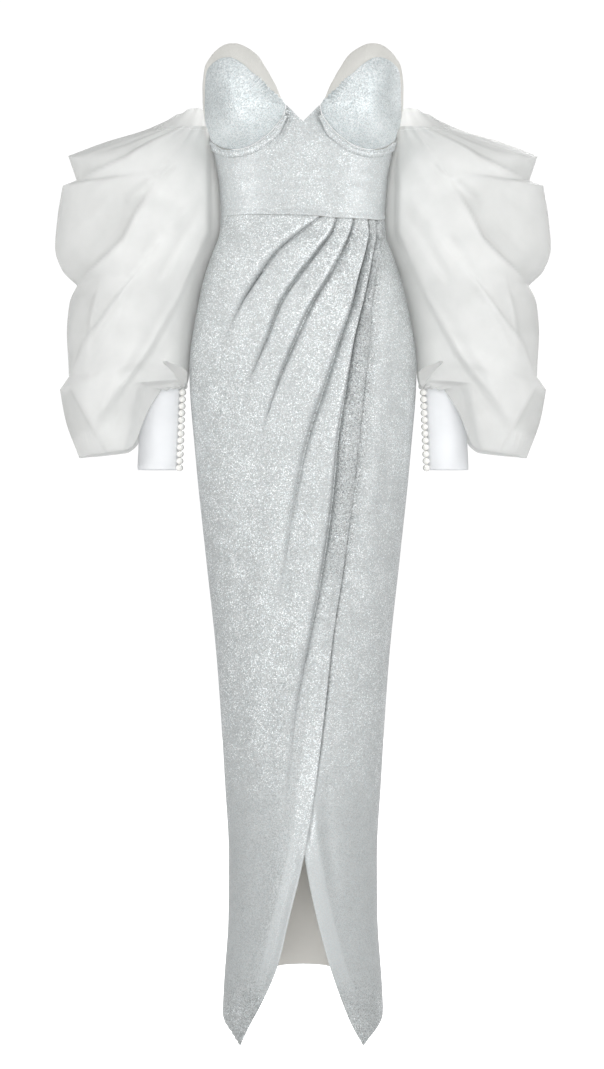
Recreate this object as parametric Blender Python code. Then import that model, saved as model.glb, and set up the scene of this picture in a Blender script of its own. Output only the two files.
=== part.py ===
"""A strapless, floor-length column wedding gown with off-shoulder balloon sleeves.

The gown is filled out as it is worn, round an empty hollow. Metres, +Z up. The front faces -Y and the
wearer's left is +X. The origin lies on the body's axis at the height of the waist seam.

Cloth pieces are closed walls: an outer skin worked out from named sizes and short tables, and an inner
skin one cloth thickness behind it. Angles round the body start at the front centre and grow towards the
wearer's left, so the side seams lie at 90 degrees and the centre back at 180.
"""

import math
from collections import namedtuple

import bmesh
import bpy
import numpy as np

LEFT = 1
RIGHT = -1
SIDE_NAMES = {LEFT: "left", RIGHT: "right"}

# Thicknesses and gaps
SEAM = 0.0003
GLITTER_CLOTH = 0.0015
CUP_CLOTH = 0.0022
FACING_CLOTH = 0.0015
CASING_CLOTH = 0.0025
LINING_CLOTH = 0.0010
ORGANZA = 0.0010
SATIN_CLOTH = 0.0015

# The filled-out form, from the hem to the underarm
Section = namedtuple("Section", "height half_width front back")
BODY = [
    Section(-1.200, 0.1185, 0.097, 0.103),
    Section(-1.102, 0.1138, 0.095, 0.101),
    Section(-1.000, 0.1073, 0.092, 0.098),
    Section(-0.920, 0.1067, 0.092, 0.098),
    Section(-0.809, 0.1123, 0.094, 0.101),
    Section(-0.636, 0.1238, 0.098, 0.107),
    Section(-0.480, 0.1404, 0.102, 0.114),
    Section(-0.348, 0.1541, 0.105, 0.121),
    Section(-0.217, 0.1634, 0.106, 0.126),
    Section(-0.110, 0.1469, 0.101, 0.116),
    Section(-0.054, 0.1296, 0.095, 0.100),
    Section(-0.027, 0.1195, 0.090, 0.089),
    Section(0.000, 0.1178, 0.088, 0.083),
    Section(0.030, 0.1195, 0.0885, 0.083),
    Section(0.060, 0.1220, 0.089, 0.084),
    Section(0.085, 0.1268, 0.091, 0.086),
    Section(0.108, 0.1318, 0.093, 0.087),
    Section(0.126, 0.1372, 0.095, 0.088),
    Section(0.150, 0.1430, 0.096, 0.088),
    Section(0.180, 0.1440, 0.096, 0.088),
]
SQUARENESS = 2.2
SLOPE_STEP = 0.002

# Edges that run round the body
Edge = namedtuple("Edge", "angle height")
WAIST_SEAM = [
    Edge(-180, 0.0),
    Edge(-90, -0.001),
    Edge(0, -0.0055),
    Edge(25, -0.009),
    Edge(60, -0.008),
    Edge(90, -0.001),
    Edge(180, 0.0),
]
BODICE_BACK_TOP = [Edge(90, 0.122), Edge(125, 0.108), Edge(180, 0.096)]
SKIRT_BACK_HEM = [Edge(90, -1.140), Edge(120, -1.120), Edge(150, -1.098), Edge(180, -1.088)]
FRONT_TIP = -1.178
SIDE_HEM = -1.140
LINING_SHORTER = 0.006

# The V between the cups
V_BOTTOM = 0.126
BRIDGE_TOP = 0.149
BRIDGE_HALF_WIDTH = 0.0235

# Midriff: where its columns stand across the front's half, and how its top edge is found
BODICE_COLUMNS = [0, 0.009, 0.017, 0.0235, 0.025, 0.029, 0.038, 0.050, 0.064]
BODICE_COLUMNS += [0.078, 0.092, 0.106, 0.117, 0.125, 0.130, 0.1335, 0.1360]
BODICE_SIDE_TOP = 0.122
BODICE_ROWS = 7
BODICE_MIDDLE = 0.05
TOP_EDGE_ROUNDS = 30

# Cup edge as seen from the front, round the cup's centre: 0 points at the other cup, 90 up
CUP_CENTRE_OUT = 0.0835
CUP_CENTRE_HEIGHT = 0.1475
CUP_APEX_DEPTH = 0.138
CUP_SEWN_FROM = 221
CUP_EDGE_GAP = 0.0009
CupEdge = namedtuple("CupEdge", "angle radius")
CUP_EDGE = [
    CupEdge(2.5, 0.0600),
    CupEdge(20, 0.0570),
    CupEdge(38.5, 0.0588),
    CupEdge(58.3, 0.0664),
    CupEdge(74.5, 0.0781),
    CupEdge(85.3, 0.0856),
    CupEdge(96.2, 0.0907),
    CupEdge(106.9, 0.0923),
    CupEdge(117.2, 0.0902),
    CupEdge(128.5, 0.0845),
    CupEdge(141.7, 0.0750),
    CupEdge(162.4, 0.0638),
    CupEdge(181.4, 0.0595),
    CupEdge(204.3, 0.0585),
    CupEdge(219.6, 0.0617),
    CupEdge(234.0, 0.0619),
    CupEdge(254.4, 0.0594),
    CupEdge(277.1, 0.0556),
    CupEdge(304.4, 0.0520),
    CupEdge(329.3, 0.0535),
    CupEdge(348.8, 0.0582),
    CupEdge(362.5, 0.0600),
]
CupDepth = namedtuple("CupDepth", "angle depth")
CUP_FREE_DEPTH = [
    CupDepth(2.5, 0.0925),
    CupDepth(38.5, 0.0880),
    CupDepth(74.5, 0.0820),
    CupDepth(96.2, 0.0770),
    CupDepth(117.2, 0.0630),
    CupDepth(128.5, 0.0480),
    CupDepth(141.7, 0.0320),
    CupDepth(162.4, 0.0170),
    CupDepth(181.4, 0.0095),
    CupDepth(204.3, 0.0085),
    CupDepth(219.6, 0.0140),
]
CupTop = namedtuple("CupTop", "angle radius")
GLITTER_TOP = [
    CupTop(2.5, 0.0598),
    CupTop(16.1, 0.0509),
    CupTop(35.3, 0.0431),
    CupTop(68.9, 0.0445),
    CupTop(90.6, 0.0563),
    CupTop(106.9, 0.0707),
    CupTop(119.6, 0.0769),
    CupTop(131, 0.0815),
    CupTop(145, 0.0722),
]
GLITTER_SHORT = 0.02
GLITTER_SHORT_FROM = 150
GLITTER_MEETS_EDGE = 200
CUP_FULLNESS_BELOW = 2.5
CUP_FULLNESS_ABOVE = 2.0
CUP_COLUMNS = 30
CUP_ROW_SHARES = [0.0, 0.3, 0.55, 0.75, 0.9, 1.0]
FACING_FROM = 4
FACING_TO = 168
FACING_UNDERLAP = 0.16
FACING_GAP = 0.0014
FACING_COLUMNS = 20
FACING_ROWS = 3

# The part of the cup's edge that the midriff's top follows
UNDER_CUP_FROM = 204
UNDER_CUP_TO = 360
UNDER_CUP_STEPS = 156

# Wire casing
CASING_WIDTH = 0.0105
CASING_GAP = 0.0007
CASING_FROM = 216
CASING_TO = 347
CASING_NEAREST_SIDE = 0.9992
CASING_TURNS_FROM = 222
CASING_TURNS_BY = 285
CASING_NARROWS_FROM = 320
CASING_END_WIDTH = 0.55
CASING_COLUMNS = 16
CasingRow = namedtuple("CasingRow", "share crown")
CASING_ROWS = [CasingRow(0.12, 0.7), CasingRow(0.50, 1.0), CasingRow(1.00, 0.7)]

# Skirt pleats: where each trough lies across the front, by height, and the wrap's free edge
Course = namedtuple("Course", "height first second third fourth fifth edge")
PLEAT_COURSES = [
    Course(-1.180, -0.1130, -0.1080, -0.1030, -0.0980, -0.0930, -0.0870),
    Course(-1.150, -0.1110, -0.1040, -0.0970, -0.0900, -0.0830, -0.0740),
    Course(-1.110, -0.1080, -0.0990, -0.0900, -0.0800, -0.0680, -0.0540),
    Course(-1.060, -0.1040, -0.0940, -0.0840, -0.0700, -0.0550, -0.0340),
    Course(-1.000, -0.1000, -0.0900, -0.0800, -0.0620, -0.0440, -0.0200),
    Course(-0.900, -0.0970, -0.0880, -0.0780, -0.0550, -0.0320, 0.0030),
    Course(-0.800, -0.1000, -0.0900, -0.0780, -0.0500, -0.0200, 0.0180),
    Course(-0.700, -0.1060, -0.0940, -0.0800, -0.0450, -0.0090, 0.0300),
    Course(-0.600, -0.1140, -0.0980, -0.0820, -0.0380, 0.0100, 0.0410),
    Course(-0.500, -0.1240, -0.1020, -0.0800, -0.0250, 0.0280, 0.0560),
    Course(-0.400, -0.1300, -0.1000, -0.0720, -0.0100, 0.0420, 0.0690),
    Course(-0.320, -0.1300, -0.0920, -0.0580, 0.0070, 0.0490, 0.0780),
    Course(-0.240, -0.1230, -0.0740, -0.0340, 0.0330, 0.0620, 0.0860),
    Course(-0.180, -0.1090, -0.0500, -0.0100, 0.0520, 0.0720, 0.0930),
    Course(-0.130, -0.0860, -0.0310, 0.0130, 0.0690, 0.0830, 0.0960),
    Course(-0.090, -0.0600, -0.0050, 0.0370, 0.0780, 0.0910, 0.1010),
    Course(-0.060, -0.0380, 0.0180, 0.0520, 0.0850, 0.0960, 0.1060),
    Course(-0.030, -0.0040, 0.0390, 0.0650, 0.0900, 0.1010, 0.1080),
    Course(-0.005, 0.0280, 0.0480, 0.0720, 0.0920, 0.1030, 0.1090),
]
Pleat = namedtuple("Pleat", "cells height crest fades_by")
PLEATS = [
    Pleat(cells=6, height=0.0045, crest=0.82, fades_by=-0.170),
    Pleat(cells=4, height=0.0060, crest=0.60, fades_by=-0.260),
    Pleat(cells=4, height=0.0070, crest=0.60, fades_by=-0.330),
    Pleat(cells=4, height=0.0085, crest=0.60, fades_by=-0.580),
    Pleat(cells=3, height=0.0075, crest=0.55, fades_by=-0.900),
    Pleat(cells=3, height=0.0045, crest=0.50, fades_by=-1.000),
]
PLEAT_AT_SEAM = 0.2
PLEAT_FULL_BELOW = 0.035
PLEAT_FADES_FROM = 0.35
WRAP_OUT = 0.0028
WRAP_RISES_BY = -62
WRAP_ROWS = 24
ROW_CROWDING = 1.3
SEAM_ROUNDS = 6

# The under panel's edge: hidden down to the slit's top, then the slit's other edge
UnderEdge = namedtuple("UnderEdge", "height across")
UNDER_EDGE = [
    UnderEdge(-1.180, 0.0870),
    UnderEdge(-1.145, 0.0680),
    UnderEdge(-1.099, 0.0500),
    UnderEdge(-1.057, 0.0360),
    UnderEdge(-0.989, 0.0180),
    UnderEdge(-0.909, 0.0020),
    UnderEdge(-0.800, -0.0120),
    UnderEdge(-0.700, -0.0230),
    UnderEdge(-0.600, -0.0350),
    UnderEdge(-0.400, -0.0520),
    UnderEdge(-0.200, -0.0600),
    UnderEdge(-0.005, -0.0550),
]
UNDER_LOWER = 0.001
UNDER_ROWS = 22
UNDER_COLUMNS = 10
BACK_ROWS = 14
BACK_COLUMNS = 8

# Sleeves: each ring runs from an outer to an inner point in the front view, and has a depth front and back
Ring = namedtuple("Ring", "out height inner_height clear depth lap drop rise lean")
SLEEVE_RINGS = [
    Ring(0.209, 0.130, 0.136, 0.0008, 0.036, 0.0, 0.005, 0.022, 0.025),
    Ring(0.275, 0.113, 0.124, 0.0008, 0.046, 0.0, 0.012, 0.014, 0.025),
    Ring(0.338, 0.090, 0.108, 0.0010, 0.056, 0.0, 0.014, 0.008, 0.025),
    Ring(0.326, 0.055, 0.086, 0.0030, 0.062, 0.0, 0.010, 0.004, 0.025),
    Ring(0.346, 0.047, 0.060, 0.0030, 0.068, 0.0, 0.006, 0.0, 0.025),
    Ring(0.353, 0.005, 0.025, 0.0030, 0.074, 0.0, 0.0, 0.0, 0.025),
    Ring(0.357, -0.041, -0.009, 0.0030, 0.078, 0.0, 0.0, 0.0, 0.025),
    Ring(0.347, -0.074, -0.045, 0.0030, 0.080, 0.0, 0.0, 0.0, 0.025),
    Ring(0.325, -0.097, -0.081, 0.0030, 0.080, 0.0, 0.0, 0.0, 0.025),
    Ring(0.336, -0.122, -0.113, 0.0030, 0.078, 0.0, 0.0, 0.0, 0.025),
    Ring(0.340, -0.165, -0.148, 0.0030, 0.075, 0.0, 0.0, 0.0, 0.025),
    Ring(0.338, -0.204, -0.178, 0.0010, 0.070, 0.0, 0.0, 0.0, 0.022),
    Ring(0.337, -0.228, -0.200, 0.0010, 0.065, 0.1, 0.0, 0.0, 0.018),
    Ring(0.350, -0.247, -0.216, 0.0010, 0.060, 0.3, 0.0, 0.0, 0.014),
    Ring(0.342, -0.290, -0.226, 0.0012, 0.060, 0.6, 0.0, 0.0, 0.010),
    Ring(0.322, -0.345, -0.232, 0.0020, 0.056, 1.0, 0.0, 0.0, 0.006),
    Ring(0.300, -0.338, -0.2365, 0.0030, 0.043, 1.0, 0.0, 0.0, 0.003),
    Ring(0.272, -0.300, -0.2395, 0.0040, 0.037, 0.8, 0.0, 0.0, 0.0),
    Ring(0.250, -0.270, -0.2425, 0.0050, 0.032, 0.5, 0.0, 0.0, 0.0),
]
CUFF_EASE = 0.0008
SLEEVE_COLUMNS = 32
SLEEVE_SQUARENESS = 2.3
SLEEVE_POINT = 1.3
LAP_FROM = 0.20
LAP_TO = 0.50
LAP_SHARE = 0.82

# Folds down the sleeve, in the front view, each with its raised side on the left as it is followed
Fold = namedtuple("Fold", "height reach line")
SLEEVE_FOLDS = [
    Fold(0.018, 0.060, [(0.282, 0.067), (0.249, 0.084), (0.217, 0.106), (0.181, 0.123), (0.154, 0.136)]),
    Fold(0.024, 0.070, [(0.321, -0.097), (0.275, -0.053), (0.253, -0.030), (0.245, 0.012), (0.215, 0.041)]),
    Fold(0.018, 0.060, [(0.328, -0.228), (0.292, -0.163), (0.253, -0.110)]),
    Fold(0.022, 0.080, [(0.135, 0.106), (0.134, -0.024), (0.174, -0.117), (0.217, -0.199), (0.298, -0.306)]),
]
FOLD_SOFTNESS = 0.012
FOLD_END_SHARE = 0.15
FOLD_FALLS_OFF = 1.5
FOLD_LEAST_DEPTH = 0.03
PLACKET_RINGS = range(13, 19)
PLACKET_COLUMNS = range(12, 14)

# Cuffs
CUFF_TOP = -0.2460
CUFF_BOTTOM = -0.3620
CUFF_TOP_OUT = 0.2025
CUFF_BOTTOM_OUT = 0.2067
CUFF_TOP_HALF_WIDTH = 0.0325
CUFF_BOTTOM_HALF_WIDTH = 0.0317
CUFF_HALF_DEPTH = 0.026
CUFF_LAP_EDGE = 20
CUFF_SWEEP = 390
CUFF_STEP_FROM = 335
CUFF_STEP_TO = 374
CUFF_COLUMNS = 28
CUFF_ROWS = 3

# Pearl buttons
BUTTONS = 12
BUTTON_RADIUS = 0.0047
BUTTON_ANGLE = 36
FIRST_BUTTON = -0.2515
LAST_BUTTON = -0.3595

# Concealed zip: slider with a bridge, and the pull that hangs on it
ZIP_HEIGHT = 0.080
SLIDER_WIDTH = 0.0064
SLIDER_LENGTH = 0.0100
SLIDER_PLATE = 0.0022
BRIDGE_WIDTH = 0.0020
BRIDGE_LENGTH = 0.0080
BRIDGE_BAR = 0.0008
BRIDGE_WINDOW = 0.0024
BRIDGE_WINDOW_LENGTH = 0.0056
PULL_WIDTH = 0.0054
PULL_LENGTH = 0.0190
PULL_THICKNESS = 0.0011
PULL_EYE_WIDTH = 0.0032
PULL_EYE_LENGTH = 0.0052
PULL_BAR = 0.0011

# Colours: red, green, blue, roughness, metallic
Finish = namedtuple("Finish", "red green blue roughness metallic")
FINISHES = {
    "glitter_cloth": Finish(0.80, 0.85, 0.87, 0.35, 0.3),
    "ivory_facing": Finish(0.90, 0.87, 0.80, 0.6, 0.0),
    "taupe_lining": Finish(0.62, 0.57, 0.52, 0.7, 0.0),
    "white_organza": Finish(0.93, 0.93, 0.92, 0.5, 0.0),
    "white_satin": Finish(0.92, 0.92, 0.92, 0.3, 0.0),
    "pearl": Finish(0.95, 0.93, 0.90, 0.15, 0.0),
    "zip_metal": Finish(0.80, 0.80, 0.80, 0.3, 1.0),
}


def clear_scene():
    for obj in list(bpy.data.objects):
        bpy.data.objects.remove(obj, do_unlink=True)


def make_materials():
    materials = {}
    for name, finish in FINISHES.items():
        material = bpy.data.materials.new(name)
        material.use_nodes = True
        shader = material.node_tree.nodes["Principled BSDF"]
        shader.inputs["Base Color"].default_value = (finish.red, finish.green, finish.blue, 1)
        shader.inputs["Roughness"].default_value = finish.roughness
        shader.inputs["Metallic"].default_value = finish.metallic
        materials[name] = material
    return materials


def smooth_through(places, values, at):
    """A smooth curve through rising places and their values, with no overshoot between them."""
    places = np.asarray(places, float)
    values = np.asarray(values, float)
    at = np.clip(at, places[0], places[-1])
    steps = np.diff(places)
    slopes = np.diff(values) / steps
    product = slopes[:-1] * slopes[1:]
    total = slopes[:-1] + slopes[1:]
    inner = np.where(product > 0, 2 * product / np.where(total == 0, 1, total), 0)
    tangents = np.concatenate([slopes[:1], inner, slopes[-1:]])
    index = np.clip(np.searchsorted(places, at) - 1, 0, len(steps) - 1)
    step = steps[index]
    share = (at - places[index]) / step
    rise = values[index + 1] - values[index]
    bend = share * (1 - share)
    smooth = values[index] + rise * share * share * (3 - 2 * share)
    lean = bend * ((1 - share) * tangents[index] - share * tangents[index + 1]) * step
    return smooth + lean


def column_of(table, name, place, at):
    """The named column of a table, read at a place in its place column."""
    rows = sorted(table, key=lambda row: getattr(row, place))
    places = [getattr(row, place) for row in rows]
    values = [getattr(row, name) for row in rows]
    return smooth_through(places, values, at)


def ramp(low, high, value):
    """0 below low, 1 above high, and a soft step between."""
    share = np.clip((value - low) / (high - low), 0, 1)
    return share * share * (3 - 2 * share)


def body_size(height):
    return tuple(column_of(BODY, name, "height", height) for name in ("half_width", "front", "back"))


def body_point(angle, height, out=0.0):
    """Points and outward normals on the filled-out form, moved out by a distance. Angles are in radians."""
    angle, height, out = np.broadcast_arrays(angle, height, out)
    half_width, front, back = body_size(height)
    above = body_size(height + SLOPE_STEP)
    below = body_size(height - SLOPE_STEP)
    slopes = [(high - low) / (2 * SLOPE_STEP) for high, low in zip(above, below)]
    in_front = np.cos(angle) > 0
    depth = np.where(in_front, front, back)
    depth_slope = np.where(in_front, slopes[1], slopes[2])
    across = np.sign(np.sin(angle)) * np.abs(np.sin(angle)) ** (2 / SQUARENESS)
    along = np.sign(np.cos(angle)) * np.abs(np.cos(angle)) ** (2 / SQUARENESS)
    place = np.stack([half_width * across, -depth * along, height], axis=-1)
    normal = np.stack(
        [
            np.sign(across) * np.abs(across) ** (SQUARENESS - 1) / half_width,
            -np.sign(along) * np.abs(along) ** (SQUARENESS - 1) / depth,
            -np.abs(across) ** SQUARENESS * slopes[0] / half_width
            - np.abs(along) ** SQUARENESS * depth_slope / depth,
        ],
        axis=-1,
    )
    normal /= np.linalg.norm(normal, axis=-1, keepdims=True)
    return place + out[..., None] * normal, normal


def front_angle(across, height):
    """The angle at which the form's front lies this far across."""
    share = np.clip(np.abs(across) / body_size(height)[0], 0, 1)
    return np.sign(across) * np.arcsin(share ** (SQUARENESS / 2))


def arc_gap(distance, height):
    """The angle that a distance along the form takes up at a side seam."""
    return distance / body_size(height)[1]


def edge_height(edge, angle):
    """An edge's height at angles in radians."""
    return column_of(edge, "height", "angle", np.degrees(angle))


def grid_triangles(points, closed=False, pole=False, missing=()):
    """Two triangles for each cell of a grid of points, split along the cell's shorter diagonal."""
    rows, columns = points.shape[:2]
    index = np.arange(rows * columns).reshape(rows, columns)
    if pole:
        index[0] = index[0, 0]
    flat = points.reshape(-1, 3)
    triangles = []
    for row in range(rows - 1):
        for column in range(columns if closed else columns - 1):
            if (row, column) in missing:
                continue
            following = (column + 1) % columns
            a, b = index[row, column], index[row, following]
            c, d = index[row + 1, following], index[row + 1, column]
            if np.linalg.norm(flat[a] - flat[c]) < np.linalg.norm(flat[b] - flat[d]):
                split = [(a, b, c), (a, c, d)]
            else:
                split = [(a, b, d), (b, c, d)]
            triangles += [corners for corners in split if len(set(corners)) == 3]
    return triangles


def bisecting_steps(points, closed=False):
    """At each point of every column, the sum of the unit steps to and from it along axis 0."""
    if closed:
        steps = np.roll(points, -1, axis=0) - points
    else:
        steps = np.diff(points, axis=0)
    length = np.linalg.norm(steps, axis=-1, keepdims=True)
    steps = steps / np.where(length == 0, 1, length)
    if closed:
        return steps + np.roll(steps, 1, axis=0)
    return np.concatenate([steps[:1], steps[1:] + steps[:-1], steps[-1:]])


def grid_normals(points, closed=False):
    """Normals of a grid of points that halve the turn between neighbouring cells."""
    along = bisecting_steps(points)
    around = bisecting_steps(points.swapaxes(0, 1), closed).swapaxes(0, 1)
    normal = np.cross(around, along)
    length = np.linalg.norm(normal, axis=-1, keepdims=True)
    return normal / np.where(length == 0, 1, length)


def add_object(name, mesh, material, collection):
    mesh.materials.append(material)
    obj = bpy.data.objects.new(name, mesh)
    collection.objects.link(obj)
    return obj


def cloth_wall(name, outer, inner, triangles, material, collection):
    """A closed wall from two skins with the same triangles, joined by a strip along every open edge."""
    edges = set()
    for a, b, c in triangles:
        edges |= {(a, b), (b, c), (c, a)}
    used = sorted({corner for corners in triangles for corner in corners})
    mesh = bpy.data.meshes.new(name)
    built = bmesh.new()
    front = {corner: built.verts.new(outer.reshape(-1, 3)[corner]) for corner in used}
    back = {corner: built.verts.new(inner.reshape(-1, 3)[corner]) for corner in used}
    for a, b, c in triangles:
        built.faces.new((front[a], front[b], front[c]))
        built.faces.new((back[c], back[b], back[a]))
    for a, b in edges:
        if (b, a) not in edges:
            built.faces.new((front[b], front[a], back[a], back[b]))
    if built.calc_volume(signed=True) < 0:
        bmesh.ops.reverse_faces(built, faces=built.faces)
    built.to_mesh(mesh)
    built.free()
    mesh.shade_smooth()
    mesh.set_sharp_from_angle(angle=math.radians(40))
    return add_object(name, mesh, material, collection)


def body_panel(name, angle, height, out, thickness, material, collection):
    """A panel of cloth that follows the filled-out form."""
    outer, normal = body_point(angle, height, out)
    inner = outer - normal * thickness
    return cloth_wall(name, outer, inner, grid_triangles(outer), material, collection)


def cup_edge_place(angle):
    """Where the cup's edge lies in the front view: distance from the centre plane, and height."""
    radius = column_of(CUP_EDGE, "radius", "angle", angle)
    turn = np.radians(angle)
    return CUP_CENTRE_OUT - radius * np.cos(turn), CUP_CENTRE_HEIGHT + radius * np.sin(turn)


def cup_edge_depth(angle):
    """How far in front of the body's axis the cup's edge lies: on the form where it is sewn."""
    out, height = cup_edge_place(angle)
    form = -body_point(front_angle(out, height), height)[0][..., 1]
    free = column_of(CUP_FREE_DEPTH, "depth", "angle", angle)
    return np.where(angle >= CUP_SEWN_FROM, form + SEAM, free)


def glitter_share(angle):
    """How much of the cup's radius the glitter cloth covers."""
    full = column_of(CUP_EDGE, "radius", "angle", angle)
    top = column_of(GLITTER_TOP, "radius", "angle", angle)
    covered = np.minimum(top / full, 1)
    beyond = 1 - GLITTER_SHORT * ramp(GLITTER_MEETS_EDGE, GLITTER_SHORT_FROM, angle)
    return np.where(angle <= GLITTER_TOP[-1].angle, covered, beyond)


def cup_surface(share, angle, side):
    """Points on the cup, from its apex at share 0 to its edge at share 1."""
    out, height = cup_edge_place(angle)
    depth = cup_edge_depth(angle)
    lift = 0.5 - 0.5 * np.sin(np.radians(angle))
    fullness = CUP_FULLNESS_ABOVE + (CUP_FULLNESS_BELOW - CUP_FULLNESS_ABOVE) * lift
    place_out = CUP_CENTRE_OUT + share * (out - CUP_CENTRE_OUT)
    place_height = CUP_CENTRE_HEIGHT + share * (height - CUP_CENTRE_HEIGHT)
    place_depth = CUP_APEX_DEPTH + (depth - CUP_APEX_DEPTH) * share**fullness
    return np.stack([side * place_out, -place_depth, place_height], axis=-1)


def outward(normal, points, centre):
    """Normals turned, as a whole, to point away from a centre."""
    return normal * np.sign(np.sum(normal * (points - centre)))


def build_cups(side, materials, collection):
    name = SIDE_NAMES[side]
    behind = np.array([side * CUP_CENTRE_OUT, 0.0, CUP_CENTRE_HEIGHT])
    angles = np.linspace(CUP_EDGE[0].angle, CUP_EDGE[-1].angle, CUP_COLUMNS + 1)[:-1]
    share = np.array(CUP_ROW_SHARES)[:, None] * glitter_share(angles)[None, :]
    outer = cup_surface(share, angles[None, :], side)
    normal = outward(grid_normals(outer, closed=True), outer, behind)
    normal[0] = (0, -1, 0)
    inner = outer - normal * CUP_CLOTH
    triangles = grid_triangles(outer, closed=True, pole=True)
    cloth_wall(f"cup_{name}", outer, inner, triangles, materials["glitter_cloth"], collection)

    angles = np.linspace(FACING_FROM, FACING_TO, FACING_COLUMNS + 1)
    from_share = glitter_share(angles) - FACING_UNDERLAP
    share = from_share + np.linspace(0, 1, FACING_ROWS + 1)[:, None] * (1 - from_share)
    surface = cup_surface(share, angles[None, :], side)
    normal = outward(grid_normals(surface), surface, behind)
    outer = surface - normal * (CUP_CLOTH + FACING_GAP)
    inner = outer - normal * FACING_CLOTH
    triangles = grid_triangles(outer)
    cloth_wall(f"cup_facing_{name}", outer, inner, triangles, materials["ivory_facing"], collection)


def build_casing(side, materials, collection):
    """The band under the cup, laid on the midriff along the cup's edge."""
    angles = np.linspace(CASING_FROM, CASING_TO, CASING_COLUMNS + 1)
    out, height = cup_edge_place(angles)
    turn = np.radians(angles)
    sideways = ramp(CASING_TURNS_FROM, CASING_TURNS_BY, angles)
    narrowing = (1 - CASING_END_WIDTH) * ramp(CASING_NARROWS_FROM, CASING_TO, angles)
    width = CASING_WIDTH * (1 - narrowing)
    share = np.array([row.share for row in CASING_ROWS])[:, None]
    down = 1 + sideways * (-np.sin(turn) - 1)
    place_height = height - share * width * down
    place_out = out - share * width * np.cos(turn) * sideways
    place_out = np.minimum(place_out, body_size(place_height)[0] * CASING_NEAREST_SIDE)
    angle = side * front_angle(place_out, place_height)
    crown = np.array([row.crown for row in CASING_ROWS])[:, None]
    outer = body_point(angle, place_height, CASING_GAP + CASING_CLOTH * crown)[0]
    inner = body_point(angle, place_height, CASING_GAP)[0]
    name = f"wire_casing_{SIDE_NAMES[side]}"
    cloth_wall(name, outer, inner, grid_triangles(outer), materials["glitter_cloth"], collection)


def bodice_top(across):
    """Height of the midriff's top edge: the V bridge in the middle, then just under the cup's edge."""
    out = np.abs(across)
    bridge = V_BOTTOM + (BRIDGE_TOP - V_BOTTOM) * np.clip(out / BRIDGE_HALF_WIDTH, 0, 1)
    angles = np.linspace(UNDER_CUP_FROM, UNDER_CUP_TO, UNDER_CUP_STEPS + 1)
    rim_out, rim_height = cup_edge_place(angles)
    order = np.argsort(rim_out)
    under_cup = np.interp(out, rim_out[order], rim_height[order]) - CUP_EDGE_GAP
    return np.where(out <= BRIDGE_HALF_WIDTH, bridge, under_cup)


def build_bodice(materials, collection):
    half = np.array(BODICE_COLUMNS)
    across = np.concatenate([-half[:0:-1], half])
    angle = front_angle(across, BODICE_SIDE_TOP)
    angle *= 1 - arc_gap(SEAM / 2, BODICE_SIDE_TOP) / (math.pi / 2)
    top = np.full(angle.shape, BODICE_SIDE_TOP)
    for _ in range(TOP_EDGE_ROUNDS):
        top = (top + bodice_top(body_point(angle, top)[0][:, 0])) / 2
    bottom = edge_height(WAIST_SEAM, angle) + SEAM
    height = bottom + np.linspace(0, 1, BODICE_ROWS + 1)[:, None] * (top - bottom)
    material = materials["glitter_cloth"]
    body_panel("bodice_front", angle[None, :], height, 0.0, GLITTER_CLOTH, material, collection)
    for side in (LEFT, RIGHT):
        gap = arc_gap(SEAM / 2, BODICE_MIDDLE)
        angle = np.linspace(math.pi / 2 + gap, math.pi - gap, BACK_COLUMNS + 1)
        top = edge_height(BODICE_BACK_TOP, angle)
        bottom = edge_height(WAIST_SEAM, angle) + SEAM / 2
        height = bottom + np.linspace(0, 1, BODICE_ROWS + 1)[:, None] * (top - bottom)
        name = f"bodice_back_{SIDE_NAMES[side]}"
        body_panel(name, side * angle[None, :], height, 0.0, GLITTER_CLOTH, material, collection)


def crowded(rows):
    """Shares from 0 to 1 that lie closer together near 0."""
    return np.linspace(0, 1, rows + 1) ** ROW_CROWDING


def pleat_lift(pleat, share, below_seam, height):
    """How far a pleat stands out: a V trough at each side and a round crest between."""
    rising = np.sin(0.5 * math.pi * np.clip(share / pleat.crest, 0, 1))
    falling = np.sin(0.5 * math.pi * np.clip((1 - share) / (1 - pleat.crest), 0, 1))
    shape = np.where(share < pleat.crest, rising, falling)
    start = PLEAT_AT_SEAM + (1 - PLEAT_AT_SEAM) * ramp(0, PLEAT_FULL_BELOW, below_seam)
    fade = ramp(pleat.fades_by, pleat.fades_by * PLEAT_FADES_FROM, height)
    return pleat.height * shape * start * fade


def build_wrap(materials, collection):
    """The pleated front, from the wearer's right side seam to its free edge, which ends in the slit."""
    names = Course._fields[1:]
    shares = []
    for index, pleat in enumerate(PLEATS):
        shares += [(index, cell / pleat.cells) for cell in range(pleat.cells)]
    shares.append((len(PLEATS) - 1, 1.0))
    angle = np.empty((WRAP_ROWS + 1, len(shares)))
    height = np.empty_like(angle)
    lift = np.empty_like(angle)
    for column, (index, share) in enumerate(shares):
        hem = SIDE_HEM + (FRONT_TIP - SIDE_HEM) * column / (len(shares) - 1)
        course = -math.pi / 2
        for _ in range(SEAM_ROUNDS):
            seam = edge_height(WAIST_SEAM, course) - SEAM / 2
            heights = seam + crowded(WRAP_ROWS) * (hem - seam)
            right = front_angle(column_of(PLEAT_COURSES, names[index], "height", heights), heights)
            if index == 0:
                left = -math.pi / 2 + arc_gap(SEAM / 2, heights)
            else:
                left = front_angle(column_of(PLEAT_COURSES, names[index - 1], "height", heights), heights)
            along = left + share * (right - left)
            course = along[0]
        angle[:, column] = along
        height[:, column] = heights
        lift[:, column] = pleat_lift(PLEATS[index], share, seam - heights, heights)
    out = WRAP_OUT * ramp(-90, WRAP_RISES_BY, np.degrees(angle)) + lift
    material = materials["glitter_cloth"]
    body_panel("skirt_front_wrap", angle, height, out, GLITTER_CLOTH, material, collection)


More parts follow.
